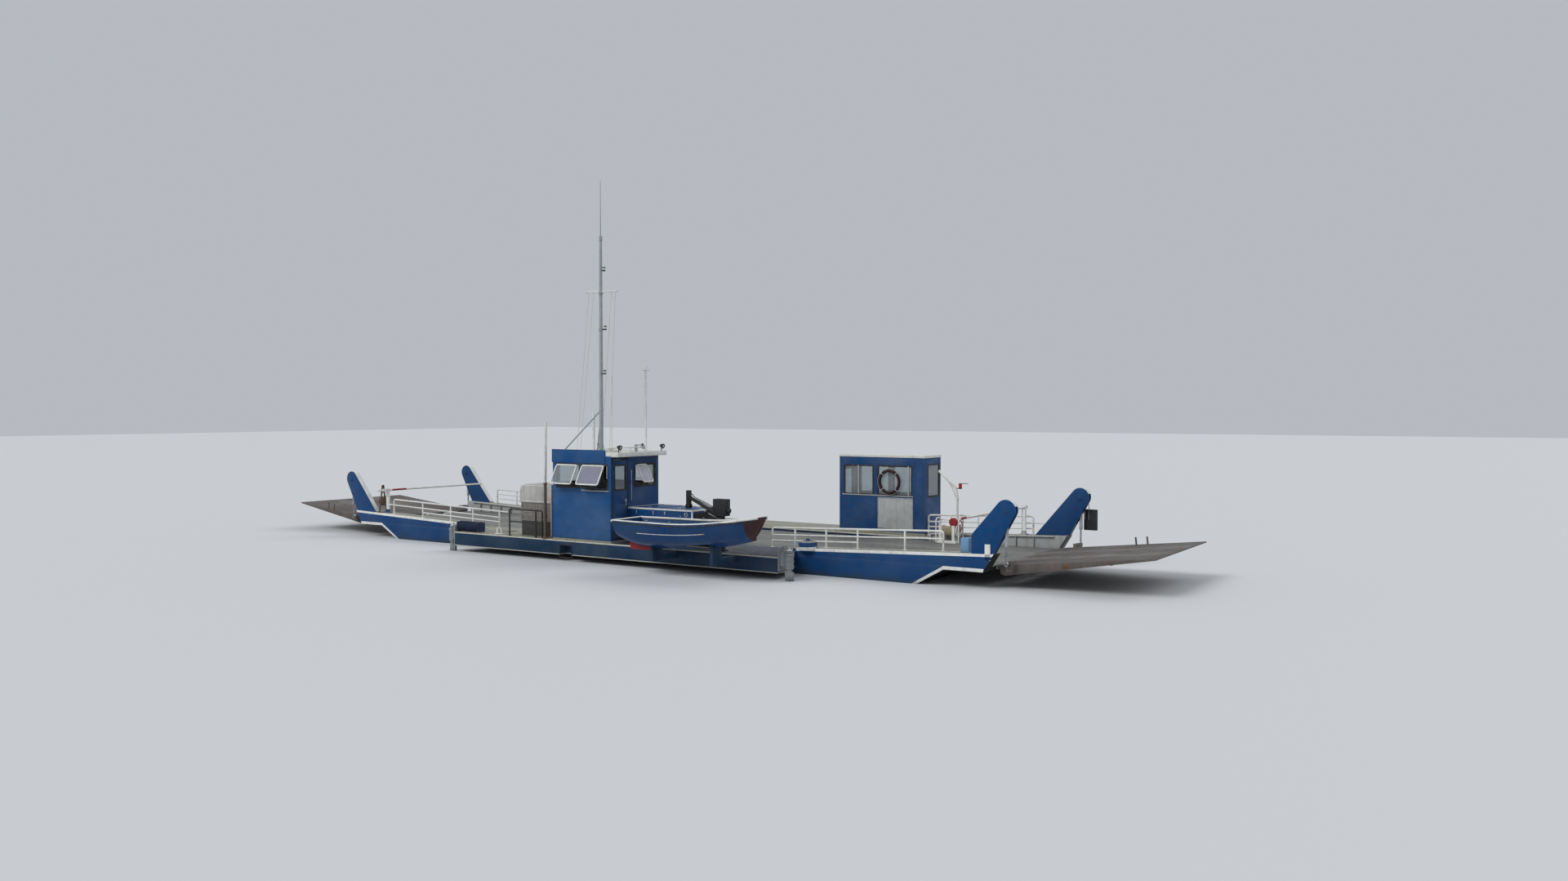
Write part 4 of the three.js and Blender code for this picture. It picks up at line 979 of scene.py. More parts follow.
for name, run in RAILS.items():
    y, (x0, x1) = run["y"], run["top"]
    start = 7.52 if name == "far_right" else 6.0
    bm = bmesh.new()
    ends = [x0 if x0 in run["posts"] else None, x1 if x1 in run["posts"] else None]
    route = [(x0, y, rail_top(x0)), (x1, y, rail_top(x1))]
    if ends[0] is not None:
        route.insert(0, (x0, y, rail_top(x0) - 0.3))
    if ends[1] is not None:
        route.append((x1, y, rail_top(x1) - 0.3))
    add_pipe(bm, bent(route, 0.09, 6), 0.025, 12)
    for x in run["posts"]:
        foot = 0.6 if abs(x) < start else bulwark_top(x)
        high = rail_top(x) - (0.2 if x in ends else 0.0)
        add_pipe(bm, [(x, y, foot + 0.001), (x, y, high)], 0.025, 12)
        add_box(bm, (x - 0.06, y - 0.045, foot + 0.0005), (x + 0.06, y + 0.045, foot + 0.0125))
    for a, b, drop in run["low"]:
        add_pipe(bm, [(a, y, rail_top(a) - drop), (b, y, rail_top(b) - drop)], 0.02, 12)
    piece("rails_" + name, bm, white_paint, bevel=0.002, replaces=["railing_" + name])
print("railings drawn")

# %% Wheelhouse walls
wall_near = painted("wall_near_paint", BOARD_BLUE, scheme=wall_layout("Y", -1, BOARD_BLUE), gloss=0.36, runs=0.1,
                    rust=0.0, edges=0.3)
wall_far = painted("wall_far_paint", BLUE, scheme=wall_layout("Y", 1, BLUE), runs=0.25, rust=0.12)
wall_left = painted("wall_left_paint", BLUE, scheme=wall_layout("X", -1, BLUE), runs=0.25, rust=0.12)
wall_right = painted("wall_right_paint", BLUE, scheme=wall_layout("X", 1, BLUE), runs=0.25, rust=0.12)
cabin_near_paint = painted("cabin_near_paint", BLUE, scheme=wall_layout("Y", -1, BLUE), runs=0.25, rust=0.12)
for node, finish in (("wheelhouse_wall_near", wall_near), ("wheelhouse_wall_far", wall_far),
                     ("wheelhouse_wall_left", wall_left), ("wheelhouse_wall_right", wall_right),
                     ("wheelhouse_door", wall_right), ("wheelhouse_roof", white_paint),
                     ("wheelhouse_floor", cream_paint), ("wheelhouse_console", dark_paint),
                     ("cabin_wall_near", cabin_near_paint), ("cabin_wall_far", wall_far),
                     ("cabin_wall_left", wall_left), ("cabin_wall_right", wall_right),
                     ("cabin_door", wall_left), ("cabin_roof", white_paint), ("cabin_floor", cream_paint),
                     ("engine_casing", blue_paint), ("cabinet_hood", cabinet_paint),
                     ("crane_pedestal", dark_paint), ("crane_jib", dark_paint), ("davit_socket", brown_steel),
                     ("davit", white_paint), ("windlass", white_paint), ("hand_winch", brown_steel),
                     ("barrier_right", white_paint), ("barrier_left", white_paint)):
    dress(node, finish, 0.004)
for name in ("left", "right"):
    dress("drive_bracket_" + name, grey_paint, 0.003)
    dress("drive_leg_" + name, grey_paint, 0.003)
    dress("propeller_" + name, bare_bronze, 0.002)
print("nodes replaced:", len(frame["nodes"]))

# %% [markdown]
# The wheelhouse is what the eye goes to first. Its panes are sheets of safety glass in rubber, and three of them are
# awning windows: white frames that hang from their top edge and are propped open at the bottom. A frame is an inset
# of a rounded rectangle, which keeps its width even all the way round.

# %% Wheelhouse windows
PROP_OPEN = 28


def fixed_pane(name, axis, at, a0, a1, z0, z1, outward, body="hull"):
    """Rubber seal on both sides of the wall and a pane in its middle."""
    seal = bmesh.new()
    middle = at - outward * 0.02
    outline = rounded(a0 - 0.02, a1 + 0.02, z0 - 0.02, z1 + 0.02, 0.05)
    add_frame(seal, outline, axis, middle - 0.026, middle + 0.026, 0.045)
    piece(name + "_seal", seal, black_rubber, body, 0.004)
    pane = bmesh.new()
    add_plate(pane, rounded(a0 + 0.005, a1 - 0.005, z0 + 0.005, z1 - 0.005, 0.04), axis, middle - 0.003,
              middle + 0.003)
    piece(name + "_pane", pane, pane_glass, body, 0)


def awning_window(name, axis, at, a0, a1, z0, z1, outward, glass=None):
    """A white frame with its pane, hung from its top edge and swung out at the bottom."""
    turn_axis = "X" if axis == "Y" else "Y"
    degrees = PROP_OPEN * (outward if axis == "Y" else -outward)
    face = at + outward * 0.003
    hinge = PLANES[axis](0, z1, face)
    depth = sorted((face, face + outward * 0.024))
    frame_mesh = bmesh.new()
    add_frame(frame_mesh, rounded(a0, a1, z0, z1, 0.07, 5), axis, *depth, 0.04)
    turn_about(frame_mesh, hinge, turn_axis, degrees)
    piece(name + "_frame", frame_mesh, white_paint, bevel=0.004)
    pane = bmesh.new()
    inner = rounded(a0 + 0.03, a1 - 0.03, z0 + 0.03, z1 - 0.03, 0.05, 5)
    middle = face + outward * 0.012
    add_plate(pane, inner, axis, middle - 0.003, middle + 0.003)
    turn_about(pane, hinge, turn_axis, degrees)
    piece(name + "_pane", pane, glass or hazy_glass, bevel=0)
    stay = bmesh.new()
    swing = math.radians(PROP_OPEN)
    drop, reach = (z1 - z0) * math.cos(swing), (z1 - z0) * math.sin(swing)
    for a in (a0 + 0.02, a1 - 0.02):
        foot = PLANES[axis](a, z1 - drop * 0.75, at - outward * 0.02)
        head = PLANES[axis](a, z1 - drop * 0.8, face + outward * reach * 0.8)
        add_bar(stay, foot, head, 0.006, 8)
        on_wall, on_frame = PLANES[axis](a, z1 + 0.014, at - outward * 0.008), PLANES[axis](a, z1 - 0.014,
                                                                                            face + outward * 0.008)
        add_bar(stay, on_wall, on_frame, 0.01, 8)
    piece(name + "_stays", stay, galvanised, bevel=0)


def hazy_pane():
    material, tree, shader = plain("hazy_pane", (0.38, 0.38, 0.48), 0.08, Transmission_Weight=0.35, IOR=1.45)
    haze = noise(tree, place_of(tree), 2.2, 5.0)
    color = mixed(tree, remap(tree, haze, 0.35, 0.7), (0.38, 0.38, 0.48, 1), (0.3, 0.3, 0.38, 1))
    tree.links.new(color, shader.inputs["Base Color"])
    tree.links.new(remap(tree, haze, 0.35, 0.7, 0.06, 0.3), shader.inputs["Roughness"])
    return material


hazy_glass = hazy_pane()
for label, x0, x1 in (("near_left", -1.09, -0.205), ("near_right", -0.15, 0.84)):
    fixed = bmesh.new()
    add_frame(fixed, rounded(x0 - 0.02, x1 + 0.02, 2.08, 2.78, 0.05), "Y", -4.087, -4.035, 0.045)
    piece("house_seal_" + label, fixed, black_rubber, bevel=0.004)
awning_window("house_near_left", "Y", -4.087, -1.06, -0.26, 2.13, 2.745, -1, pane_glass)
awning_window("house_near_right", "Y", -4.087, -0.1, 0.73, 2.13, 2.745, -1)
seal = bmesh.new()
add_frame(seal, rounded(-3.07, -2.11, 2.11, 2.78, 0.05), "X", 0.9, 0.947, 0.045)
piece("house_seal_right", seal, black_rubber, bevel=0.004)
awning_window("house_right", "X", 0.947, -3.02, -2.56, 2.17, 2.745, 1)
fixed_pane("house_right_fixed", "X", 0.94, -2.5, -2.15, 2.15, 2.74, 1)
fixed_pane("house_far_left", "Y", -2.0, -1.06, -0.24, 2.2, 2.84, 1)
fixed_pane("house_far_right", "Y", -2.0, -0.04, 0.78, 2.2, 2.84, 1)
fixed_pane("house_left", "X", -1.22, -3.86, -2.24, 2.2, 2.84, -1)
print("wheelhouse windows fitted")

# %% [markdown]
# The near wall carries two blank boards, a large one below the windows and a long plate above them. A real board is
# a thin sheet in an edge strip, fixed with screws, so each gets a folded edge and rows of round heads, and the large
# one a seam.

# %% Blank boards on the near wall
BOARD_FACE = -4.1
boards = bmesh.new()
add_frame(boards, rounded(-1.215, 0.945, 0.68, 2.01, 0.01, 1), "Y", BOARD_FACE - 0.004, BOARD_FACE + 0.01, 0.018)
add_frame(boards, rounded(-1.235, 0.745, 2.81, 3.165, 0.01, 1), "Y", BOARD_FACE - 0.004, BOARD_FACE + 0.01, 0.014)
add_box(boards, (-1.2, BOARD_FACE - 0.002, 0.955), (0.93, BOARD_FACE + 0.01, 0.967))
piece("board_edges", boards, board_paint, bevel=0.002)
heads = bmesh.new()
for i in range(9):
    for z in (0.705, 1.985):
        x = -1.19 + i * 2.11 / 8
        add_bar(heads, (x, BOARD_FACE - 0.009, z), (x, BOARD_FACE + 0.002, z), 0.009, 10)
for i in range(7):
    for z in (2.83, 3.145):
        x = -1.215 + i * 1.94 / 6
        add_bar(heads, (x, BOARD_FACE - 0.009, z), (x, BOARD_FACE + 0.002, z), 0.007, 10)
piece("board_screws", heads, board_paint, bevel=0.002)
sill = bmesh.new()
add_plate(sill, [(-4.1, 2.02), (-4.135, 2.03), (-4.135, 2.045), (-4.085, 2.055), (-4.04, 2.06), (-4.04, 2.02)], "X",
          -0.1, 0.88)
piece("near_window_sill", sill, lining_paint, bevel=0.002)
print("boards edged")

# %% Wheelhouse door and handles
door_low, door_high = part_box("wheelhouse_door")
fixed_pane("door", "X", 0.94, -3.915, -3.44, 2.06, 2.75, 1, "wheelhouse_door")
trim = bmesh.new()
add_frame(trim, rounded(-3.975, -3.395, 0.735, 2.885, 0.03), "X", 0.938, 0.944, 0.03)
for z in (0.95, 1.35):
    add_plate(trim, rounded(-3.9, -3.47, z, z + 0.32, 0.02), "X", 0.938, 0.946)
piece("door_pressings", trim, wall_right, "wheelhouse_door", 0.002)
plate = bmesh.new()
add_plate(plate, rounded(-3.475, -3.405, 1.62, 1.8, 0.012), "X", 0.938, 0.946)
add_ring(plate, (0.985, -3.5, 1.7), (0, 1, 0), 0.014, 0.004, 16, 6)
piece("door_handle_plate", plate, galvanised, "wheelhouse_door", 0.002)
jamb = bmesh.new()
add_frame(jamb, rounded(-4.015, -3.355, 0.695, 2.925, 0.02, 2), "X", 0.938, 0.951, 0.018)
add_box(jamb, (0.94, -4.0, 2.935), (1.0, -3.36, 2.945))
piece("door_surround", jamb, black_rubber, bevel=0.002)
print("door dressed", [round(v, 2) for v in (*door_low, *door_high)])

# %% Wheelhouse roof edge, rail and lamps
ROOF_LOW, ROOF_HIGH = Vector((-1.25, -4.07, 3.0)), Vector((1.2, -1.94, 3.11))
drip = bmesh.new()
outline = [(ROOF_LOW.x, ROOF_LOW.y), (ROOF_HIGH.x, ROOF_LOW.y), (ROOF_HIGH.x, ROOF_HIGH.y),
           (ROOF_LOW.x, ROOF_HIGH.y)]
add_frame(drip, outline, "Z", 2.985, 2.999, 0.02)
piece("roof_drip_edge", drip, white_paint, bevel=0.002)
rail = bmesh.new()
corners = [(0.7, -4.0, 3.1), (0.7, -4.0, 3.22), (1.16, -3.6, 3.24), (1.16, -2.87, 3.24), (1.16, -2.87, 3.1)]
add_pipe(rail, bent(corners, 0.07, 5), 0.016, 10)
add_pipe(rail, [(1.16, -3.5, 3.1), (1.16, -3.5, 3.235)], 0.012, 10)
for x, y in ((0.7, -4.0), (1.16, -2.87), (1.16, -3.5)):
    add_bar(rail, (x, y, 3.111), (x, y, 3.123), 0.034, 16)
piece("roof_rail", rail, white_paint, bevel=0.002)
lamps = bmesh.new()
for x, y, lean in ((1.12, -2.08, 1), (1.12, -3.95, 1), (-1.18, -2.1, -1)):
    add_bar(lamps, (x, y, 3.1), (x, y, 3.19), 0.014, 10)
    add_lathe(lamps, [(0.0, -0.07), (0.035, -0.06), (0.062, 0.0), (0.07, 0.05), (0.066, 0.055), (0.0, 0.045)],
              Vector((x + lean * 0.02, y, 3.25)), (lean, 0, -0.25), 20)
piece("roof_lamps", lamps, dark_paint, bevel=0.001)
lenses = bmesh.new()
for x, y, lean in ((1.12, -2.08, 1), (1.12, -3.95, 1), (-1.18, -2.1, -1)):
    centre = Vector((x + lean * 0.02, y, 3.25)) + Vector((lean, 0, -0.25)).normalized() * 0.04
    add_lathe(lenses, [(0.0, 0.014), (0.03, 0.012), (0.062, 0.0), (0.0, 0.0)], centre, (lean, 0, -0.25), 20)
piece("roof_lamp_lenses", lenses, white_lens, bevel=0)
vent = bmesh.new()
add_lathe(vent,
          [(0.0, 0.15), (0.1, 0.14), (0.14, 0.1), (0.135, 0.085), (0.06, 0.08), (0.06, -0.045), (0.0, -0.045)],
          Vector((0.45, -3.5, 3.1)), (0, 0, 1), 24)
add_frame(vent, rounded(-0.95, -0.3, -2.55, -2.1, 0.05), "Z", 3.052, 3.1, 0.03)
add_plate(vent, rounded(-0.93, -0.32, -2.53, -2.12, 0.04), "Z", 3.08, 3.108)
piece("roof_vent_and_hatch", vent, white_paint, bevel=0.003)
horn = bmesh.new()
for z, long in ((3.2, 0.32), (3.27, 0.26)):
    add_lathe(horn,
              [(0.0, 0.0), (0.02, 0.0), (0.012, 0.04), (0.016, long * 0.6), (0.055, long), (0.05, long - 0.003),
                     (0.012, long * 0.6), (0.0, long * 0.4)], Vector((0.35, -2.3, z)), (1, 0, 0), 20)
add_box(horn, (0.33, -2.33, 3.052), (0.4, -2.27, 3.28))
piece("roof_horns", horn, galvanised, bevel=0.001)
print("roof fitted")

# %% Wipers and grab rails on the wheelhouse
wiper = bmesh.new()
add_bar(wiper, (0.28, -4.09, 2.06), (0.28, -4.13, 2.06), 0.025, 14)
add_bar(wiper, (0.28, -4.125, 2.06), (0.52, -4.15, 2.16), 0.007, 8)
add_box(wiper, (0.36, -4.16, 2.1), (0.62, -4.148, 2.118))
piece("wiper", wiper, dark_paint, bevel=0.001)
grab = bmesh.new()
for x, y, z0, z1, out in ((0.99, -3.27, 1.75, 2.6, 1),):
    route = [(0.94, y, z0), (x + 0.01, y, z0), (x + 0.01, y, z1), (0.94, y, z1)]
    add_pipe(grab, bent(route, 0.03, 4), 0.014, 10)
add_pipe(grab,
         bent([(-1.22, -3.9, 1.2), (-1.28, -3.9, 1.2), (-1.28, -3.9, 2.0), (-1.22, -3.9, 2.0)], 0.03, 4), 0.014, 10)
piece("house_grab_rails", grab, galvanised, bevel=0)
print("wipers and grab rails fitted")

# %% [markdown]
# Inside, the helm has what a skipper reaches for: a wheel with its spokes, two thrust levers, a dark screen and
# some round gauges without any marks.

# %% Helm
HELM = Vector((-0.2, -3.7, 1.45))
wheel = bmesh.new()
add_ring(wheel, HELM + Vector((0.12, 0, 0)), (1, 0, 0.3), 0.2, 0.013, 40, 10)
for i in range(5):
    turn = math.tau * i / 5
    flat = Vector((0, math.cos(turn), math.sin(turn)))
    spoke = Vector((1, 0, 0.3)).normalized().to_track_quat("X", "Z") @ flat
    add_bar(wheel, HELM + Vector((0.12, 0, 0)), HELM + Vector((0.12, 0, 0)) + spoke * 0.2, 0.007, 8)
add_bar(wheel, HELM - Vector((0.01, 0, 0)), HELM + Vector((0.14, 0, 0.006)), 0.03, 14)
piece("helm_wheel", wheel, varnished_wood, bevel=0.001)
dash = bmesh.new()
for y in (-3.9, -3.5):
    add_bar(dash, (-0.42, y, 1.56), (-0.34, y, 1.75), 0.009, 8)
    add_ball(dash, (-0.335, y, 1.76), 0.022, 12)
add_plate(dash, [(-0.68, 1.66), (-0.62, 1.66), (-0.56, 1.92), (-0.6, 1.93)], "Y", -3.85, -3.55)
piece("helm_levers_and_screen", dash, dark_paint, bevel=0.003)
gauges = bmesh.new()
for i in range(5):
    y = -3.95 + i * 0.09
    add_ring(gauges, (-0.28, y, 1.527), (0.3, 0, 1), 0.032, 0.005, 20, 6)
piece("helm_gauges", gauges, galvanised, bevel=0)
print("helm fitted")

# %% [markdown]
# The mast is a tapered tube that stands on the wheelhouse roof. Thin halyards run from its yard to the roof's edge,
# and lamps sit on small brackets up its length. Drawn again as a round tube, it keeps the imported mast's place.

# %% Mast
MAST = Vector((-0.35, -3.0, 0))
tube = bmesh.new()
add_bar(tube, MAST + Vector((0, 0, 3.052)), MAST + Vector((0, 0, 9.2)), 0.062, 24, 0.042)
add_bar(tube, MAST + Vector((0, 0, 9.19)), MAST + Vector((0, 0, 10.84)), 0.016, 12, 0.008)
add_bar(tube, MAST + Vector((0, 0, 9.12)), MAST + Vector((0, 0, 9.26)), 0.05, 24)
add_bar(tube, MAST + Vector((0, 0, 3.052)), MAST + Vector((0, 0, 3.11)), 0.108, 28)
for z in (4.26, 6.55, 7.6):
    add_bar(tube, MAST + Vector((0, 0, z)), MAST + Vector((0, 0, z + 0.07)), 0.066, 24)
for i in range(4):
    turn = math.tau * (i + 0.5) / 4
    rib = Vector((math.cos(turn), math.sin(turn), 0))
    add_bar(tube, MAST + rib * 0.1 + Vector((0, 0, 3.1)), MAST + rib * 0.05 + Vector((0, 0, 3.3)), 0.008, 6)
for y in (-3.8, -2.3):
    add_bar(tube, (MAST.x, MAST.y, 4.28), (-1.12, y, 3.06), 0.02, 14)
    add_box(tube, (-1.165, y - 0.04, 3.052), (-1.085, y + 0.04, 3.07))
piece("mast_tube", tube, mast_paint, bevel=0.002, replaces=["mast"])
yard = bmesh.new()
add_bar(yard, (-0.91, -3.0, 7.69), (0.27, -3.0, 7.66), 0.022, 16)
for x in (-0.9, 0.26):
    add_ball(yard, (x, -3.0, 7.675), 0.026, 12)
for x in (-0.8, -0.62, 0.05, 0.2):
    add_ring(yard, (x, -3.0, 7.635), (1, 0, 0), 0.02, 0.005, 16, 6)
piece("mast_yard", yard, white_paint, bevel=0.001)
lines = bmesh.new()
for x, foot in ((-0.8, (-0.92, -3.4, 3.1)), (-0.62, (-0.7, -3.5, 3.1)), (0.05, (0.1, -3.5, 3.1)),
                (0.2, (0.35, -3.45, 3.1))):
    add_bar(lines, (x, -3.0, 7.62), foot, 0.0035, 6)
piece("mast_halyards", lines, laid_rope, bevel=0)
lights = bmesh.new()
for z, out in ((6.62, 0.16), (5.35, 0.14), (8.3, 0.12)):
    add_bar(lights, (MAST.x, MAST.y, z - 0.02), (MAST.x + out, MAST.y, z - 0.02), 0.014, 10)
    add_lathe(lights, [(0.0, -0.05), (0.05, -0.05), (0.05, -0.02), (0.036, -0.02), (0.036, 0.05), (0.05, 0.05),
                       (0.045, 0.07), (0.0, 0.08)], Vector((MAST.x + out, MAST.y, z)), (0, 0, 1), 20)
piece("mast_lamps", lights, dark_paint, bevel=0.001)
bulbs = bmesh.new()
for z, out in ((6.62, 0.16), (5.35, 0.14), (8.3, 0.12)):
    add_lathe(bulbs, [(0.0, -0.03), (0.041, -0.028), (0.043, 0.01), (0.041, 0.048), (0.0, 0.05)],
              Vector((MAST.x + out, MAST.y, z)), (0, 0, 1), 20)
piece("mast_lamp_lenses", bulbs, white_lens, bevel=0)
print("mast dressed")

# %% [markdown]
# The engine casing has a white coaming round its top, a bolted lid in two halves and an access panel in its right
# end. The cabinet beside the pole has a hood over a brown locker, with rows of louvres pressed in its doors.

# %% Engine casing
CASE_LOW, CASE_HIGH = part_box("engine_casing")
coaming = bmesh.new()
outline = [(CASE_LOW.x + 0.01, CASE_LOW.y - 0.012), (CASE_HIGH.x + 0.012, CASE_LOW.y - 0.012),
           (CASE_HIGH.x + 0.012, CASE_HIGH.y + 0.012), (CASE_LOW.x + 0.01, CASE_HIGH.y + 0.012)]
add_frame(coaming, outline, "Z", CASE_HIGH.z - 0.035, CASE_HIGH.z + 0.006, 0.06)
piece("casing_coaming", coaming, white_paint, bevel=0.004)
lids = bmesh.new()
for x0, x1 in ((CASE_LOW.x + 0.1, 1.98), (2.02, CASE_HIGH.x - 0.08)):
    add_plate(lids, rounded(x0, x1, CASE_LOW.y + 0.09, CASE_HIGH.y - 0.09, 0.03), "Z", CASE_HIGH.z - 0.002,
              CASE_HIGH.z + 0.005)
    for x in (x0 + 0.15, x1 - 0.15):
        add_box(lids, (x - 0.05, CASE_HIGH.y - 0.12, CASE_HIGH.z + 0.002),
                (x + 0.05, CASE_HIGH.y - 0.05, CASE_HIGH.z + 0.01))
piece("casing_lids", lids, blue_paint, bevel=0.004)
grips = bmesh.new()
for x in (1.5, 2.55):
    y, z = CASE_LOW.y + 0.25, CASE_HIGH.z - 0.035
    add_pipe(grips,
             bent([(x - 0.08, y, z), (x - 0.08, y, z + 0.05), (x + 0.08, y, z + 0.05), (x + 0.08, y, z)], 0.02, 4),
             0.008, 8)
for x in (1.25, 1.85, 2.25, 2.95):
    z = CASE_HIGH.z - 0.12
    add_box(grips, (x - 0.02, CASE_LOW.y - 0.014, z - 0.05), (x + 0.02, CASE_LOW.y + 0.001, z + 0.05))
    add_bar(grips, (x, CASE_LOW.y - 0.03, z), (x, CASE_LOW.y, z), 0.008, 8)
piece("casing_grips", grips, galvanised, bevel=0.001)
end_panel = bmesh.new()
add_plate(end_panel, rounded(-3.26, -2.14, 0.72, 1.48, 0.04), "X", CASE_HIGH.x - 0.001, CASE_HIGH.x + 0.014)
for i in range(9):
    z = 0.86 + i * 0.05
    add_plate(end_panel,
              [(CASE_HIGH.x + 0.012, z), (CASE_HIGH.x + 0.03, z + 0.006), (CASE_HIGH.x + 0.012, z + 0.028)],
              "Y", -2.95, -2.45)
piece("casing_end_panel", end_panel, black_paint, bevel=0.001)
stiles = bmesh.new()
for y in (CASE_LOW.y - 0.004, CASE_HIGH.y - 0.031):
    add_box(stiles, (CASE_HIGH.x - 0.03, y, 0.62), (CASE_HIGH.x + 0.006, y + 0.035, CASE_HIGH.z - 0.03))
piece("casing_corner_stiles", stiles, white_paint, bevel=0.003)
ribs = bmesh.new()
for x in (1.35, 1.9, 2.45, 3.0):
    add_box(ribs, (x - 0.004, CASE_LOW.y - 0.01, 0.62), (x + 0.004, CASE_LOW.y + 0.001, CASE_HIGH.z - 0.2))
piece("casing_ribs", ribs, blue_paint, bevel=0.001)
print("casing", [round(v, 2) for v in (*CASE_LOW, *CASE_HIGH)])

# %% Cabinet
CAB_LOW, CAB_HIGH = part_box("cabinet_hood")
louvres = bmesh.new()
for x0 in (-2.78, -2.2):
    add_frame(louvres, rounded(x0, x0 + 0.5, 1.08, 1.54, 0.015), "Y", -3.718, -3.706, 0.018)
    for i in range(6):
        z = 1.16 + i * 0.06
        add_plate(louvres, [(-3.709, z), (-3.73, z + 0.006), (-3.709, z + 0.035)], "X", x0 + 0.08, x0 + 0.42)
piece("cabinet_doors", louvres, cabinet_paint, bevel=0.001)
fittings = bmesh.new()
for x in (-2.24, -2.16):
    add_bar(fittings, (x, -3.735, 1.32), (x, -3.7, 1.32), 0.014, 12)
    add_box(fittings, (x - 0.006, -3.745, 1.27), (x + 0.006, -3.735, 1.34))
for x in (-2.81, -1.69):
    for z in (1.15, 1.45):
        add_bar(fittings, (x, -3.722, z - 0.04), (x, -3.722, z + 0.04), 0.01, 10)
piece("cabinet_fittings", fittings, galvanised, bevel=0.001)
hood = bmesh.new()
add_frame(hood, rounded(-2.86, -1.65, 1.6, 2.08, 0.04), "Y", -3.748, -3.738, 0.02)
add_box(hood, (-2.26, -3.746, 1.62), (-2.25, -3.738, 2.06))
add_box(hood, (-1.632, -3.742, 0.62), (-1.612, -3.7, 2.1))
piece("cabinet_hood_trim", hood, white_paint, bevel=0.003)
print("cabinet", [round(v, 2) for v in (*CAB_LOW, *CAB_HIGH)])

# %% Pole and guard rail
POLE = Vector((-1.56, -4.04, 0))
pole = bmesh.new()
add_bar(pole, POLE + Vector((0, 0, 0.601)), POLE + Vector((0, 0, 2.2)), 0.045, 24)
add_bar(pole, POLE + Vector((0, 0, 2.19)), POLE + Vector((0.04, 0, 3.93)), 0.038, 24)
add_lathe(pole, [(0.0, 0.0), (0.1, 0.0), (0.1, 0.016), (0.05, 0.02), (0.05, 0.06), (0.0, 0.06)],
          POLE + Vector((0, 0, 0.601)), (0, 0, 1), 24)
for z in (1.2, 2.14):
    add_bar(pole, POLE + Vector((0, 0, z)), POLE + Vector((0, 0, z + 0.08)), 0.052, 24)
for i in range(4):
    turn = math.tau * (i + 0.5) / 4
    bolt = POLE + Vector((0.078 * math.cos(turn), 0.078 * math.sin(turn), 0.615))
    add_bar(pole, bolt, bolt + Vector((0, 0, 0.018)), 0.011, 6)
piece("signal_pole", pole, pole_paint, bevel=0.002, replaces=["sponson_pole"])
guard = bmesh.new()
for x in (-3.0, -1.945):
    add_pipe(guard, [(x, -4.03, 0.601), (x, -4.03, 1.37)], 0.024, 12)
    add_bar(guard, (x, -4.03, 0.601), (x, -4.03, 0.613), 0.06, 16)
add_pipe(guard,
         bent([(-3.0, -4.03, 1.25), (-3.0, -4.03, 1.38), (-1.69, -4.03, 1.38), (-1.69, -4.03, 0.601)], 0.06, 5),
         0.022, 12)
add_pipe(guard, [(-3.0, -4.03, 1.02), (-1.69, -4.03, 1.02)], 0.019, 12)
piece("sponson_guard_pipes", guard, dark_paint, bevel=0.001, replaces=["sponson_guard"])
print("pole and guard drawn")

# %% [markdown]
# The dinghy is a moulded boat with a smooth skin, so straight facets would give it away. A fine grid is bent to
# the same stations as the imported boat: along its length by s, round its section by t, from the keel to the gunwale.
# The shell is then given its thickness with solidify.

# %% Dinghy
BOAT = {"stern": 2.25, "bow": 6.64, "y": -4.95, "beam": 1.5, "keel": 0.7, "sheer": 1.42, "wall": 0.035}


def boat_point(s, t, r, inset=0.0):
    """A place on the boat's skin: s from stern to bow, t from side to side, r from keel to gunwale."""
    plan = 0.82 + 0.18 * math.sin(min(s, 0.5) / 0.5 * math.pi / 2)
    bow = 1 if s < 0.5 else math.sqrt(max(0.0, 1 - ((s - 0.5) / 0.5) ** 2.6))
    half = max((BOAT["beam"] / 2 - inset) * plan * bow * (0.3 + 0.7 * r ** 0.45), 0.012)
    sheer = BOAT["sheer"] + 0.826 * max(0.0, s - 0.45) ** 2
    aft, fore, stem = max(0.0, 0.22 - s) / 0.22, max(0.0, s - 0.25), max(0.0, s - 0.7)
    keel = BOAT["keel"] + 0.17 * aft ** 2 + 0.49 * fore ** 1.65 + 0.9 * stem ** 2
    low = keel + inset * 1.3 + 0.09 * abs(t) * (1 - r)
    z = low + (sheer - low) * r
    rake = 0.26 * r * s ** 6 - inset * 1.1 * (s - 0.5) * 2
    length = BOAT["bow"] - BOAT["stern"] - 0.26
    return Vector((BOAT["stern"] + s * length + rake, BOAT["y"] + t * half, z))


def section_share(v):
    """Splits a walk round the section, from -1 to 1, into a share across and a share up."""
    walk = abs(v)
    across = min(walk / 0.3, 1.0)
    return math.copysign(across, v), max(0.0, (walk - 0.3) / 0.7)


shell = bmesh.new()
bmesh.ops.create_grid(shell, x_segments=56, y_segments=36, size=1)
for vert in shell.verts:
    s = (vert.co.x + 1) / 2
    across, up = section_share(vert.co.y)
    vert.co = boat_point(0.5 - 0.5 * math.cos(math.pi * s) if s > 0.5 else s, across, up)
stern_edges = [e for e in shell.edges if e.is_boundary and all(v.co.x < BOAT["stern"] + 0.001 for v in e.verts)]
transom = bmesh.ops.extrude_edge_only(shell, edges=stern_edges)
middle = [v for v in transom["geom"] if isinstance(v, bmesh.types.BMVert)]
for vert in middle:
    vert.co = Vector((BOAT["stern"], BOAT["y"], vert.co.z))
bmesh.ops.remove_doubles(shell, verts=shell.verts, dist=0.0005)
bmesh.ops.recalc_face_normals(shell, faces=shell.faces)
if sum(f.normal.z * f.calc_area() for f in shell.faces) > 0:
    bmesh.ops.reverse_faces(shell, faces=shell.faces)
bmesh.ops.solidify(shell, geom=shell.faces, thickness=0.03)
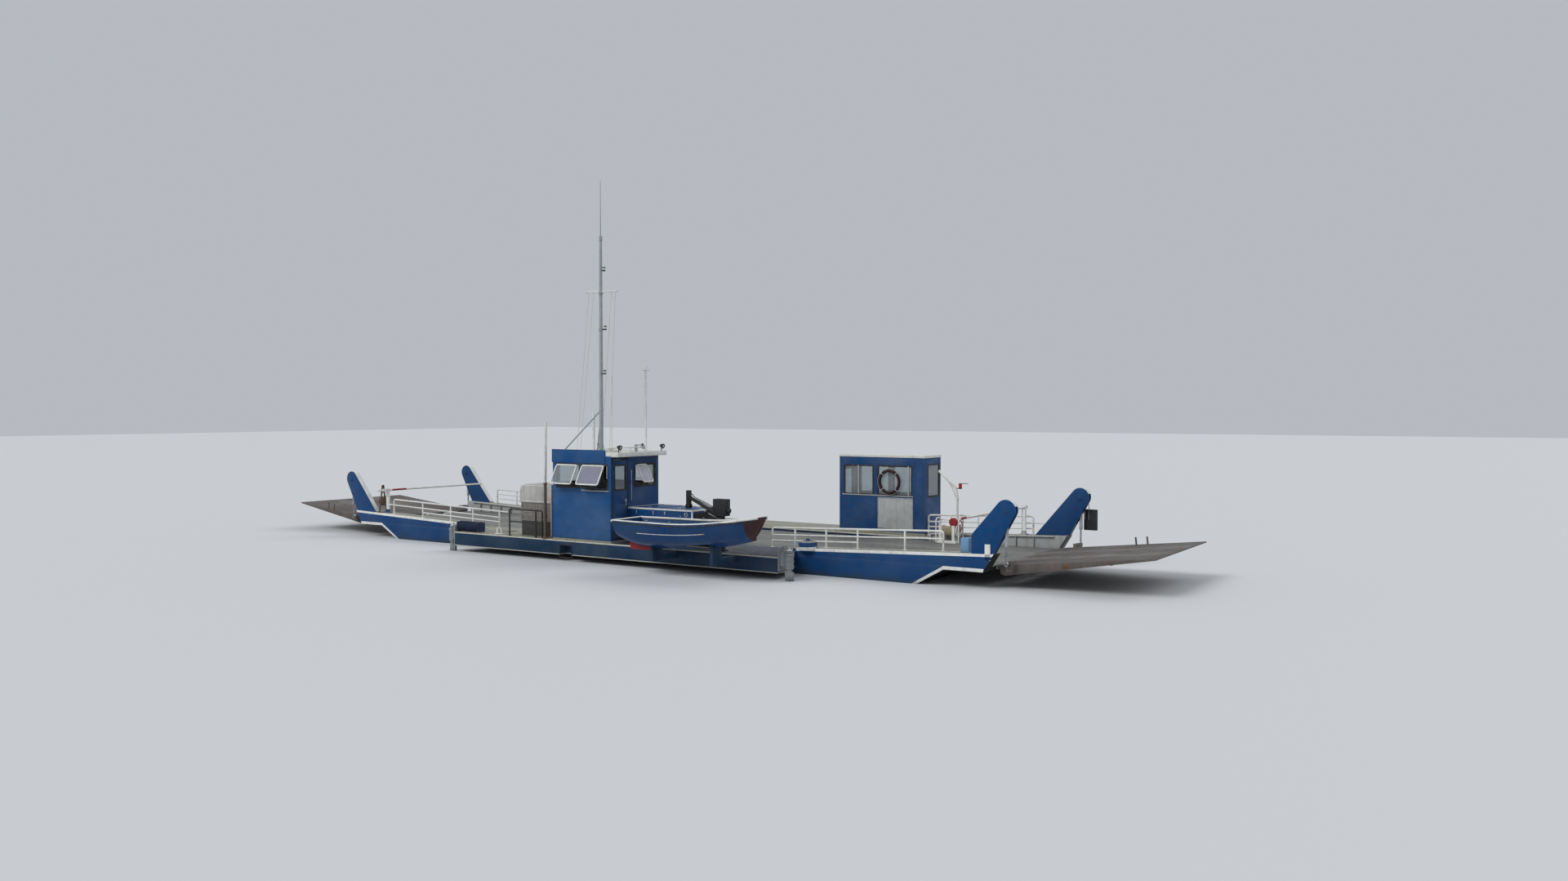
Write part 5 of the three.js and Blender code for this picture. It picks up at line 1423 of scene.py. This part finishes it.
piece("dinghy_shell", shell, boat_paint, bevel=0, replaces=["dinghy"])
print("dinghy shell, gunwale at", round(boat_point(0.5, 1, 1).z, 2))

# %% Dinghy gunwale, stripe, thwarts and gear
RIM_INSET = 0.032


def gunwale_line(side, r=1.0, first=0.0, last=0.985, out=0.0, steps=48):
    """Points along the rim. They are set in or out by a distance that dies away over the last part of the bow."""
    stations = [first + (last - first) * i / steps for i in range(steps + 1)]
    return [boat_point(s, side, r) + Vector((0, side * out * min(1, 6 * (1 - s)), 0)) for s in stations]


lip = bmesh.new()
for side in (-1, 1):
    add_pipe(lip, gunwale_line(side, out=-RIM_INSET), 0.03, 10)
add_pipe(lip, [boat_point(0, t, 1) for t in (-1, -0.5, 0, 0.5, 1)], 0.03, 10)
piece("dinghy_gunwale", lip, white_paint, bevel=0)
fender = bmesh.new()
for side in (-1, 1):
    add_pipe(fender, [p - Vector((0, 0, 0.045)) for p in gunwale_line(side, 1.0, 0.0, 0.98, -0.018)], 0.016, 8)
piece("dinghy_rubber", fender, black_rubber, bevel=0)
line = bmesh.new()
for side in (-1, 1):
    add_pipe(line, gunwale_line(side, 0.58, 0.2, 0.72, 0.0, 30), 0.009, 6)
piece("dinghy_stripe", line, white_paint, bevel=0)
seats = bmesh.new()
for x in (2.75, 3.9, 5.0):
    s = (x - BOAT["stern"]) / (BOAT["bow"] - BOAT["stern"] - 0.26)
    for k in range(2):
        half = abs(boat_point(s, 1, 0.68).y - BOAT["y"]) - 0.03
        add_plate(seats,
                  rounded(x + k * 0.125, x + 0.12 + k * 0.125, BOAT["y"] - half, BOAT["y"] + half, 0.01, 2), "Z",
                  1.215, 1.24)
for y in (-0.22, 0, 0.22):
    add_box(seats, (2.75, BOAT["y"] + y - 0.08, 0.86), (5.1, BOAT["y"] + y + 0.08, 0.875))
piece("dinghy_thwarts", seats, varnished_wood, bevel=0.003)
oars = bmesh.new()
for side, start, end in ((-1, (2.5, -5.3, 1.258), (4.7, -5.15, 1.258)),
                         (1, (2.6, -4.62, 1.258), (4.8, -4.72, 1.258))):
    start, end = Vector(start), Vector(end)
    way = (end - start).normalized()
    add_bar(oars, start, end, 0.02, 12)
    add_plate(oars, rounded(end.x - 0.02, end.x + 0.5, end.y - 0.06, end.y + 0.06, 0.04), "Z", end.z - 0.006,
              end.z + 0.008)
    add_bar(oars, start - way * 0.14, start, 0.016, 12)
piece("dinghy_oars", oars, varnished_wood, bevel=0.002)
skeg = bmesh.new()
add_plate(skeg, [(2.4, 0.642), (3.05, 0.642), (3.18, 0.714), (2.78, 0.75), (2.36, 0.86)], "Y",
          BOAT["y"] - 0.034, BOAT["y"] + 0.034)
piece("dinghy_skeg", skeg, red_paint, bevel=0.006)
fittings = bmesh.new()
for s in (0.3, 0.48):
    for side in (-1, 1):
        p = boat_point(s, side, 1) - Vector((0, side * RIM_INSET, 0))
        add_ring(fittings, p + Vector((0, 0, 0.055)), (1, 0, 0), 0.025, 0.006, 16, 6)
        add_box(fittings, p + Vector((-0.05, -0.018, 0.012)), p + Vector((0.05, 0.018, 0.032)))
add_ring(fittings, boat_point(0.985, 0, 0.8) + Vector((0.03, 0, 0)), (0, 1, 0), 0.03, 0.006, 16, 6)
piece("dinghy_rowlocks", fittings, galvanised, bevel=0.001)
print("dinghy fitted")

# %% [markdown]
# The passenger cabin is glazed like the wheelhouse. It also has a lifebuoy in its near window, a blank notice panel
# below it, slats on its bench and pressed panels on its door.

# %% Cabin windows
CABIN_LOW, CABIN_HIGH = Vector((4.4, 2.45, 0.6)), Vector((7.28, 3.5, 2.94))
for side, face, outward in (("near", CABIN_LOW.y, -1), ("far", CABIN_HIGH.y, 1)):
    for i, (x0, x1) in enumerate(((4.56, 5.56), (5.72, 6.85))):
        fixed_pane(f"cabin_{side}_{i}", "Y", face, x0, x1, 1.75, 2.62, outward)
fixed_pane("cabin_right", "X", CABIN_HIGH.x, 2.65, 3.4, 1.73, 2.67, 1)
fixed_pane("cabin_door", "X", 4.384, 2.75, 3.23, 1.65, 2.5, -1, "cabin_door")
bars = bmesh.new()
for x in (6.74, 5.06):
    add_box(bars, (x - 0.02, 2.443, 1.75), (x + 0.02, 2.475, 2.62))
add_box(bars, (4.5, 2.435, 1.715), (6.9, 2.46, 1.745))
piece("cabin_window_bars", bars, lining_paint, bevel=0.003)
trim = bmesh.new()
for y in (CABIN_LOW.y - 0.012, CABIN_HIGH.y - 0.002):
    add_box(trim, (4.39, y, 2.87), (7.29, y + 0.014, 2.938))
for x in (4.388, 7.278):
    add_box(trim, (x, 2.44, 2.87), (x + 0.014, 3.51, 2.938))
piece("cabin_roof_edge", trim, white_paint, bevel=0.003)
seams = bmesh.new()
for x in (4.46, 5.64, 6.95, 7.22):
    add_box(seams, (x - 0.004, 2.444, 0.66), (x + 0.004, 2.452, 2.86))
for z in (0.7, 1.66):
    add_box(seams, (4.42, 2.445, z), (7.26, 2.452, z + 0.012))
piece("cabin_seams", seams, blue_paint, bevel=0.001)
print("cabin glazed")

# %% Cabin ring, panel and bench
RING = Vector((6.13, 2.405, 2.15))
buoy = bmesh.new()
add_ring(buoy, RING, (0, 1, 0), 0.33, 0.048, 48, 14)
piece("cabin_lifebuoy", buoy, maroon_paint, bevel=0)
lashing = bmesh.new()
for i in range(4):
    turn = math.tau * (i + 0.5) / 4
    way = Vector((math.cos(turn), 0, math.sin(turn)))
    along = Vector((-way.z, 0, way.x))
    add_ring(lashing, RING + way * 0.33, along, 0.052, 0.009, 20, 6)
add_ring(lashing, RING, (0, 1, 0), 0.39, 0.006, 48, 6)
piece("cabin_lifebuoy_line", lashing, pale_canvas, bevel=0)
notice = bmesh.new()
add_plate(notice, rounded(5.74, 6.88, 0.77, 1.66, 0.02), "Y", 2.438, 2.452)
piece("cabin_blank_panel", notice, lining_paint, bevel=0.002)
rim = bmesh.new()
add_frame(rim, rounded(5.72, 6.9, 0.75, 1.68, 0.02), "Y", 2.434, 2.452, 0.025)
piece("cabin_panel_rim", rim, galvanised, bevel=0.001)
slats = bmesh.new()
for i in range(5):
    y = 3.11 + i * 0.065
    add_box(slats, (4.71, y, 1.081), (7.21, y + 0.055, 1.097))
for i in range(3):
    z = 1.2 + i * 0.09
    add_box(slats, (4.71, 3.415, z), (7.21, 3.435, z + 0.07))
piece("cabin_bench_slats", slats, varnished_wood, bevel=0.003)
leaf = bmesh.new()
add_frame(leaf, rounded(2.67, 3.31, 0.75, 2.61, 0.03), "X", 4.38, 4.386, 0.03)
for z in (0.86, 1.24):
    add_plate(leaf, rounded(2.76, 3.22, z, z + 0.3, 0.02), "X", 4.379, 4.386)
piece("cabin_door_pressings", leaf, wall_left, "cabin_door", 0.002)
print("cabin fitted")

# %% [markdown]
# The boat crane and the davit are lifting gear, so they get what lifting gear needs: a sheave, a wire, a hook, hoses
# and the heads of the bolts that hold them down. Each of these rides on the body that it turns with.

# %% Boat crane
JIB = Vector((4.44, -3.7, 1.1))
gear = bmesh.new()
for y in (-0.062, 0.05):
    add_bar(gear, JIB + Vector((-1.095, y, 0.62)), JIB + Vector((-1.095, y + 0.012, 0.62)), 0.075, 24)
for z in (0.7, 0.98):
    for y in (-0.056, 0.05):
        add_bar(gear, JIB + Vector((-1.095, y, z)), JIB + Vector((-1.095, y + 0.008, z)), 0.014, 6)
add_bar(gear, JIB + Vector((0.05, -0.12, 0.16)), JIB + Vector((0.05, 0.12, 0.16)), 0.085, 24)
for y in (-0.125, 0.11):
    add_bar(gear, JIB + Vector((0.05, y, 0.16)), JIB + Vector((0.05, y + 0.015, 0.16)), 0.115, 24)
piece("crane_sheave_and_drum", gear, black_paint, "crane_jib", 0.002)
wire = bmesh.new()
add_bar(wire, JIB + Vector((-1.17, 0, 0.62)), JIB + Vector((-1.17, 0, 0.44)), 0.006, 8)
add_bar(wire, JIB + Vector((-1.02, 0, 0.7)), JIB + Vector((0.05, 0, 0.25)), 0.006, 8)
for i in range(5):
    add_ring(wire, JIB + Vector((0.05, -0.08 + i * 0.04, 0.16)), (0, 1, 0), 0.09, 0.007, 28, 6)
piece("crane_wire", wire, galvanised, "crane_jib", 0)
hook = bmesh.new()
curve = [(0, 0.44), (0, 0.4), (0.03, 0.37), (0.035, 0.34), (0.0, 0.315), (-0.035, 0.335), (-0.035, 0.36)]
add_pipe(hook, bent([JIB + Vector((-1.17 + x, 0, z)) for x, z in curve], 0.02, 3), 0.011, 10)
piece("crane_hook", hook, galvanised, "crane_jib", 0)
hoses = bmesh.new()
for y in (-0.05, 0.05):
    route = [(0.0, y, 0.3), (-0.05, y, 0.5), (-0.5, y, 0.7), (-0.95, y, 0.86), (-1.04, y, 0.95)]
    add_pipe(hoses, bent([JIB + Vector(p) for p in route], 0.1, 5), 0.012, 8)
piece("crane_hoses", hoses, black_rubber, "crane_jib", 0)
base = bmesh.new()
for i in range(8):
    turn = math.tau * (i + 0.5) / 8
    bolt = Vector((4.44 + 0.13 * math.cos(turn), -3.7 + 0.13 * math.sin(turn), 0.602))
    add_bar(base, bolt, bolt + Vector((0, 0, 0.03)), 0.012, 6)
piece("crane_base_bolts", base, galvanised, bevel=0.001)
print("crane fitted")

# %% Davit
DAVIT = Vector((8.33, 2.42, 0))
brace = bmesh.new()
add_pipe(brace, bent([(8.31, 2.42, 1.72), (8.14, 2.42, 2.1), (7.96, 2.42, 2.32)], 0.1, 5), 0.014, 10)
for z in (1.12, 1.7):
    add_bar(brace, DAVIT + Vector((0, 0, z)), DAVIT + Vector((0, 0, z + 0.05)), 0.046, 24)
add_ball(brace, (7.765, 2.42, 2.505), 0.04, 14)
piece("davit_brace", brace, white_paint, "davit", 0.002)
lamp = bmesh.new()
add_lathe(lamp, [(0.0, -0.06), (0.045, -0.055), (0.05, 0.0), (0.045, 0.055), (0.0, 0.06)], (8.42, 2.42, 2.1),
          (0, 0, 1), 24)
piece("davit_red_lamp", lamp, red_lens, "davit", 0)
bracket = bmesh.new()
add_bar(bracket, (8.3, 2.42, 2.03), (8.44, 2.42, 2.03), 0.012, 10)
add_bar(bracket, (8.42, 2.42, 2.02), (8.42, 2.42, 2.05), 0.05, 20)
add_bar(bracket, (8.42, 2.42, 2.155), (8.42, 2.42, 2.175), 0.05, 20)
add_bar(bracket, (8.42, 2.42, 2.17), (8.66, 2.42, 2.18), 0.009, 8)
piece("davit_lamp_bracket", bracket, dark_paint, "davit", 0.001)
print("davit fitted")

# %% Windlass
frames = bmesh.new()
for x in (7.92, 8.62):
    route = [(x, 1.88, 0.512), (x, 1.88, 1.2), (x, 2.17, 1.2), (x, 2.17, 0.512)]
    add_pipe(frames, bent(route, 0.1, 6), 0.02, 12)
add_pipe(frames, [(7.92, 1.88, 0.8), (8.0, 1.88, 0.8)], 0.014, 10)
add_pipe(frames, [(8.54, 1.88, 0.8), (8.62, 1.88, 0.8)], 0.014, 10)
add_pipe(frames, bent([(7.87, 2.2, 0.512), (7.87, 2.2, 1.14), (8.27, 2.2, 1.14), (8.27, 2.2, 0.512)], 0.1, 6),
         0.02, 12)
piece("windlass_guard", frames, white_paint, bevel=0)
drum = bmesh.new()
for i in range(9):
    add_ring(drum, (8.1 + i * 0.035, 2.02, 0.85), (1, 0, 0), 0.118, 0.016, 32, 8)
piece("windlass_rope", drum, laid_rope, bevel=0)
wheel = bmesh.new()
add_ring(wheel, (8.6, 2.02, 1.0), (1, 0, 0), 0.15, 0.014, 36, 8)
for i in range(3):
    turn = math.tau * i / 3 + 0.4
    way = Vector((0, math.cos(turn), math.sin(turn)))
    add_bar(wheel, Vector((8.6, 2.02, 1.0)), Vector((8.6, 2.02, 1.0)) + way * 0.15, 0.009, 8)
add_bar(wheel, (8.48, 2.02, 1.0), (8.61, 2.02, 1.0), 0.022, 14)
piece("windlass_wheel", wheel, red_paint, bevel=0.001)
housing = bmesh.new()
add_bar(housing, (8.415, 1.93, 1.1), (8.415, 2.02, 1.1), 0.12, 32)
piece("windlass_red_housing", housing, red_paint, bevel=0.006)
print("windlass fitted")

# %% [markdown]
# Bolts, bollards and bands are cheap to draw and are what makes plate look fabricated. Rows of them come
# from short loops over their places.

# %% Winch housings, hose reel and sponson deck
winch = bmesh.new()
add_bar(winch, (6.44, -2.66, 0.79), (6.44, -2.66, 0.815), 0.256, 8)
add_bar(winch, (6.44, -2.66, 0.922), (6.44, -2.66, 0.935), 0.05, 20)
turn_about(winch, (6.44, -2.66, 0.8), "Z", 22.5)
for i in range(8):
    turn = math.tau * (i + 0.5) / 8
    bolt = Vector((6.44 + 0.205 * math.cos(turn), -2.66 + 0.205 * math.sin(turn), 0.848))
    add_bar(winch, bolt, bolt + Vector((0, 0, 0.016)), 0.012, 6)
piece("winch_housing_band", winch, blue_paint, bevel=0.002)
reel = bmesh.new()
for i in range(14):
    add_ring(reel, (-5.13 + i * 0.056, -3.9, 0.755), (1, 0, 0), 0.138, 0.022, 32, 8)
piece("hose_on_reel", reel, reel_paint, bevel=0)
rims = bmesh.new()
for x in (-5.2, -4.35):
    add_ring(rims, (x + 0.015, -3.9, 0.755), (1, 0, 0), 0.15, 0.016, 36, 8)
piece("hose_reel_rims", rims, reel_paint, bevel=0)
bitts = bmesh.new()
for x, y in ((-3.55, -3.9),):
    add_plate(bitts, rounded(x - 0.16, x + 0.16, y - 0.06, y + 0.06, 0.03), "Z", 0.601, 0.615)
    for dx in (-0.09, 0.09):
        add_bar(bitts, (x + dx, y, 0.61), (x + dx, y, 0.75), 0.032, 20)
        add_bar(bitts, (x + dx, y, 0.75), (x + dx, y, 0.772), 0.043, 20)
piece("sponson_bitts", bitts, white_paint, bevel=0.003)
hatches = bmesh.new()
for x, y in ((-4.0, -3.2), (-0.1, -2.95)):
    add_plate(hatches, rounded(x - 0.28, x + 0.28, y - 0.2, y + 0.2, 0.05), "Z", 0.601, 0.618)
    for dx in (-0.2, 0.2):
        add_bar(hatches, (x + dx, y - 0.12, 0.618), (x + dx, y - 0.12, 0.63), 0.016, 6)
        add_bar(hatches, (x + dx, y + 0.12, 0.618), (x + dx, y + 0.12, 0.63), 0.016, 6)
piece("sponson_hatches", hatches, cream_paint, bevel=0.004)
lip = bmesh.new()
add_frame(lip, rounded(-0.96, -0.48, 0.1, 0.47, 0.02, 2), "Y", -4.112, -4.098, 0.02)
piece("recess_rim", lip, dark_paint, bevel=0.002)
print("sponson deck fitted")

# %% Drive brackets and legs
for name, x, face, end in (("right", 6.72, 6.44, 1), ("left", -5.45, -5.25, -1)):
    bolts = bmesh.new()
    outer = face + end * 0.04
    for y in (-4.06, -3.83):
        for z in (0.28, 0.42, 0.56, 0.7):
            add_bar(bolts, (outer, y, z), (outer + end * 0.018, y, z), 0.016, 6)
    for i in range(8):
        turn = math.tau * (i + 0.5) / 8
        spot = Vector((x + 0.112 * math.cos(turn), -3.98 + 0.112 * math.sin(turn), 0.688))
        add_bar(bolts, spot, spot + Vector((0, 0, 0.014)), 0.01, 6)
    for side in (-1, 1):
        add_bar(bolts, (x - end * 0.12, -3.98 + side * 0.07, 0.44),
                (x - end * 0.12, -3.98 + side * 0.082, 0.44), 0.03, 6)
    piece("drive_bolts_" + name, bolts, grey_paint, bevel=0.001)
    collar = bmesh.new()
    for z in (0.36, 0.5, 0.62):
        add_ring(collar, (x, -3.98, z), (0, 0, 1), 0.112, 0.012, 36, 8)
    piece("drive_sleeve_bands_" + name, collar, grey_paint, bevel=0)
    cap = bmesh.new()
    add_lathe(cap, [(0.0, 0.03), (0.04, 0.028), (0.07, 0.01), (0.088, 0.0), (0.0, 0.0)], (x, -3.98, 0.769),
              (0, 0, 1), 28)
    add_bar(cap, (x, -3.98, 0.79), (x, -3.98, 0.84), 0.014, 12)
    for i in range(6):
        turn = math.tau * i / 6
        spot = Vector((x + 0.074 * math.cos(turn), -3.98 + 0.074 * math.sin(turn), 0.768))
        add_bar(cap, spot, spot + Vector((0, 0, 0.016)), 0.008, 6)
    piece("drive_cap_" + name, cap, white_paint, "drive_leg_" + name, 0.001)
print("drive legs fitted")

# %% [markdown]
# Each barrier boom is striped red at one end, so that drivers see it. A stripe is a sleeve a little wider than the
# boom. It rides on the boom, and so does the left boom's weight.

# %% Barriers
for name, end, bands in (("right", 1, ((3.85, 4.19),)), ("left", -1, ((0.16, 0.75),))):
    stripe = bmesh.new()
    for start, stop in bands:
        add_bar(stripe, (end * 10.35, end * (2.42 - start), 1.575), (end * 10.35, end * (2.42 - stop), 1.575),
                0.0312, 20)
    piece("barrier_stripe_" + name, stripe, red_paint, "barrier_" + name, 0)
    pins = bmesh.new()
    for way in (-1, 1):
        x = end * 10.35 + way * 0.058
        add_bar(pins, (x, end * 2.42, 1.575), (x + way * 0.012, end * 2.42, 1.575), 0.022, 6)
    for x in (10.27, 10.43):
        for y in (2.36, 2.48):
            z = bulwark_top(x) + 0.02
            add_bar(pins, (end * x, end * y, z), (end * x, end * y, z + 0.02), 0.012, 6)
    piece("barrier_pins_" + name, pins, galvanised, bevel=0.001)
tail = bmesh.new()
add_bar(tail, (-10.35, -2.6, 1.58), (-10.35, -2.78, 1.58), 0.018, 14)
add_ball(tail, (-10.35, -2.8, 1.58), (0.05, 0.07, 0.038), 16)
piece("barrier_tail_left", tail, white_paint, "barrier_left", 0)
print("barriers striped")

# %% Hand winch
hand = bmesh.new()
for x in (-10.64, -10.48):
    add_bar(hand, (x, -2.46, 1.19), (x + 0.012, -2.46, 1.19), 0.12, 24)
for i in range(4):
    add_ring(hand, (-10.6 + i * 0.027, -2.46, 1.19), (1, 0, 0), 0.108, 0.013, 28, 8)
add_pipe(hand,
         bent([(-10.47, -2.46, 1.19), (-10.45, -2.46, 1.19), (-10.45, -2.36, 1.34), (-10.4, -2.36, 1.34)], 0.02, 3),
         0.01, 8)
piece("hand_winch_drum", hand, brown_steel, bevel=0)
print("hand winch fitted")
# %% [markdown]
# A few fittings finish the right end: a blank plate on two arms from the far wing, a short white post on the near
# bulwark's outer edge and a small locker inside it. None of them moves, so all three belong to the hull.

# %% End fittings
plate = bmesh.new()
add_plate(plate, rounded(11.96, 12.34, 1.01, 1.58, 0.02), "Y", 2.72, 2.732)
piece("end_blank_plate", plate, dark_paint, bevel=0.002)
arms = bmesh.new()
for x in (11.99, 12.1):
    add_pipe(arms, bent([(x, 2.661, 1.74), (x, 2.71, 1.7), (x, 2.71, 1.3)], 0.02, 3), 0.01, 10)
piece("end_plate_arms", arms, galvanised, bevel=0)
post = bmesh.new()
add_box(post, (11.42, -2.7, 0.7), (11.56, -2.665, 1.09))
piece("bulwark_end_post", post, white_paint, bevel=0.004)
locker = bmesh.new()
add_box(locker, (10.68, -2.45, 0.835), (10.9, -2.25, 1.18))
piece("bulwark_locker", locker, pale_blue_paint, bevel=0.008)
print("end fittings placed")
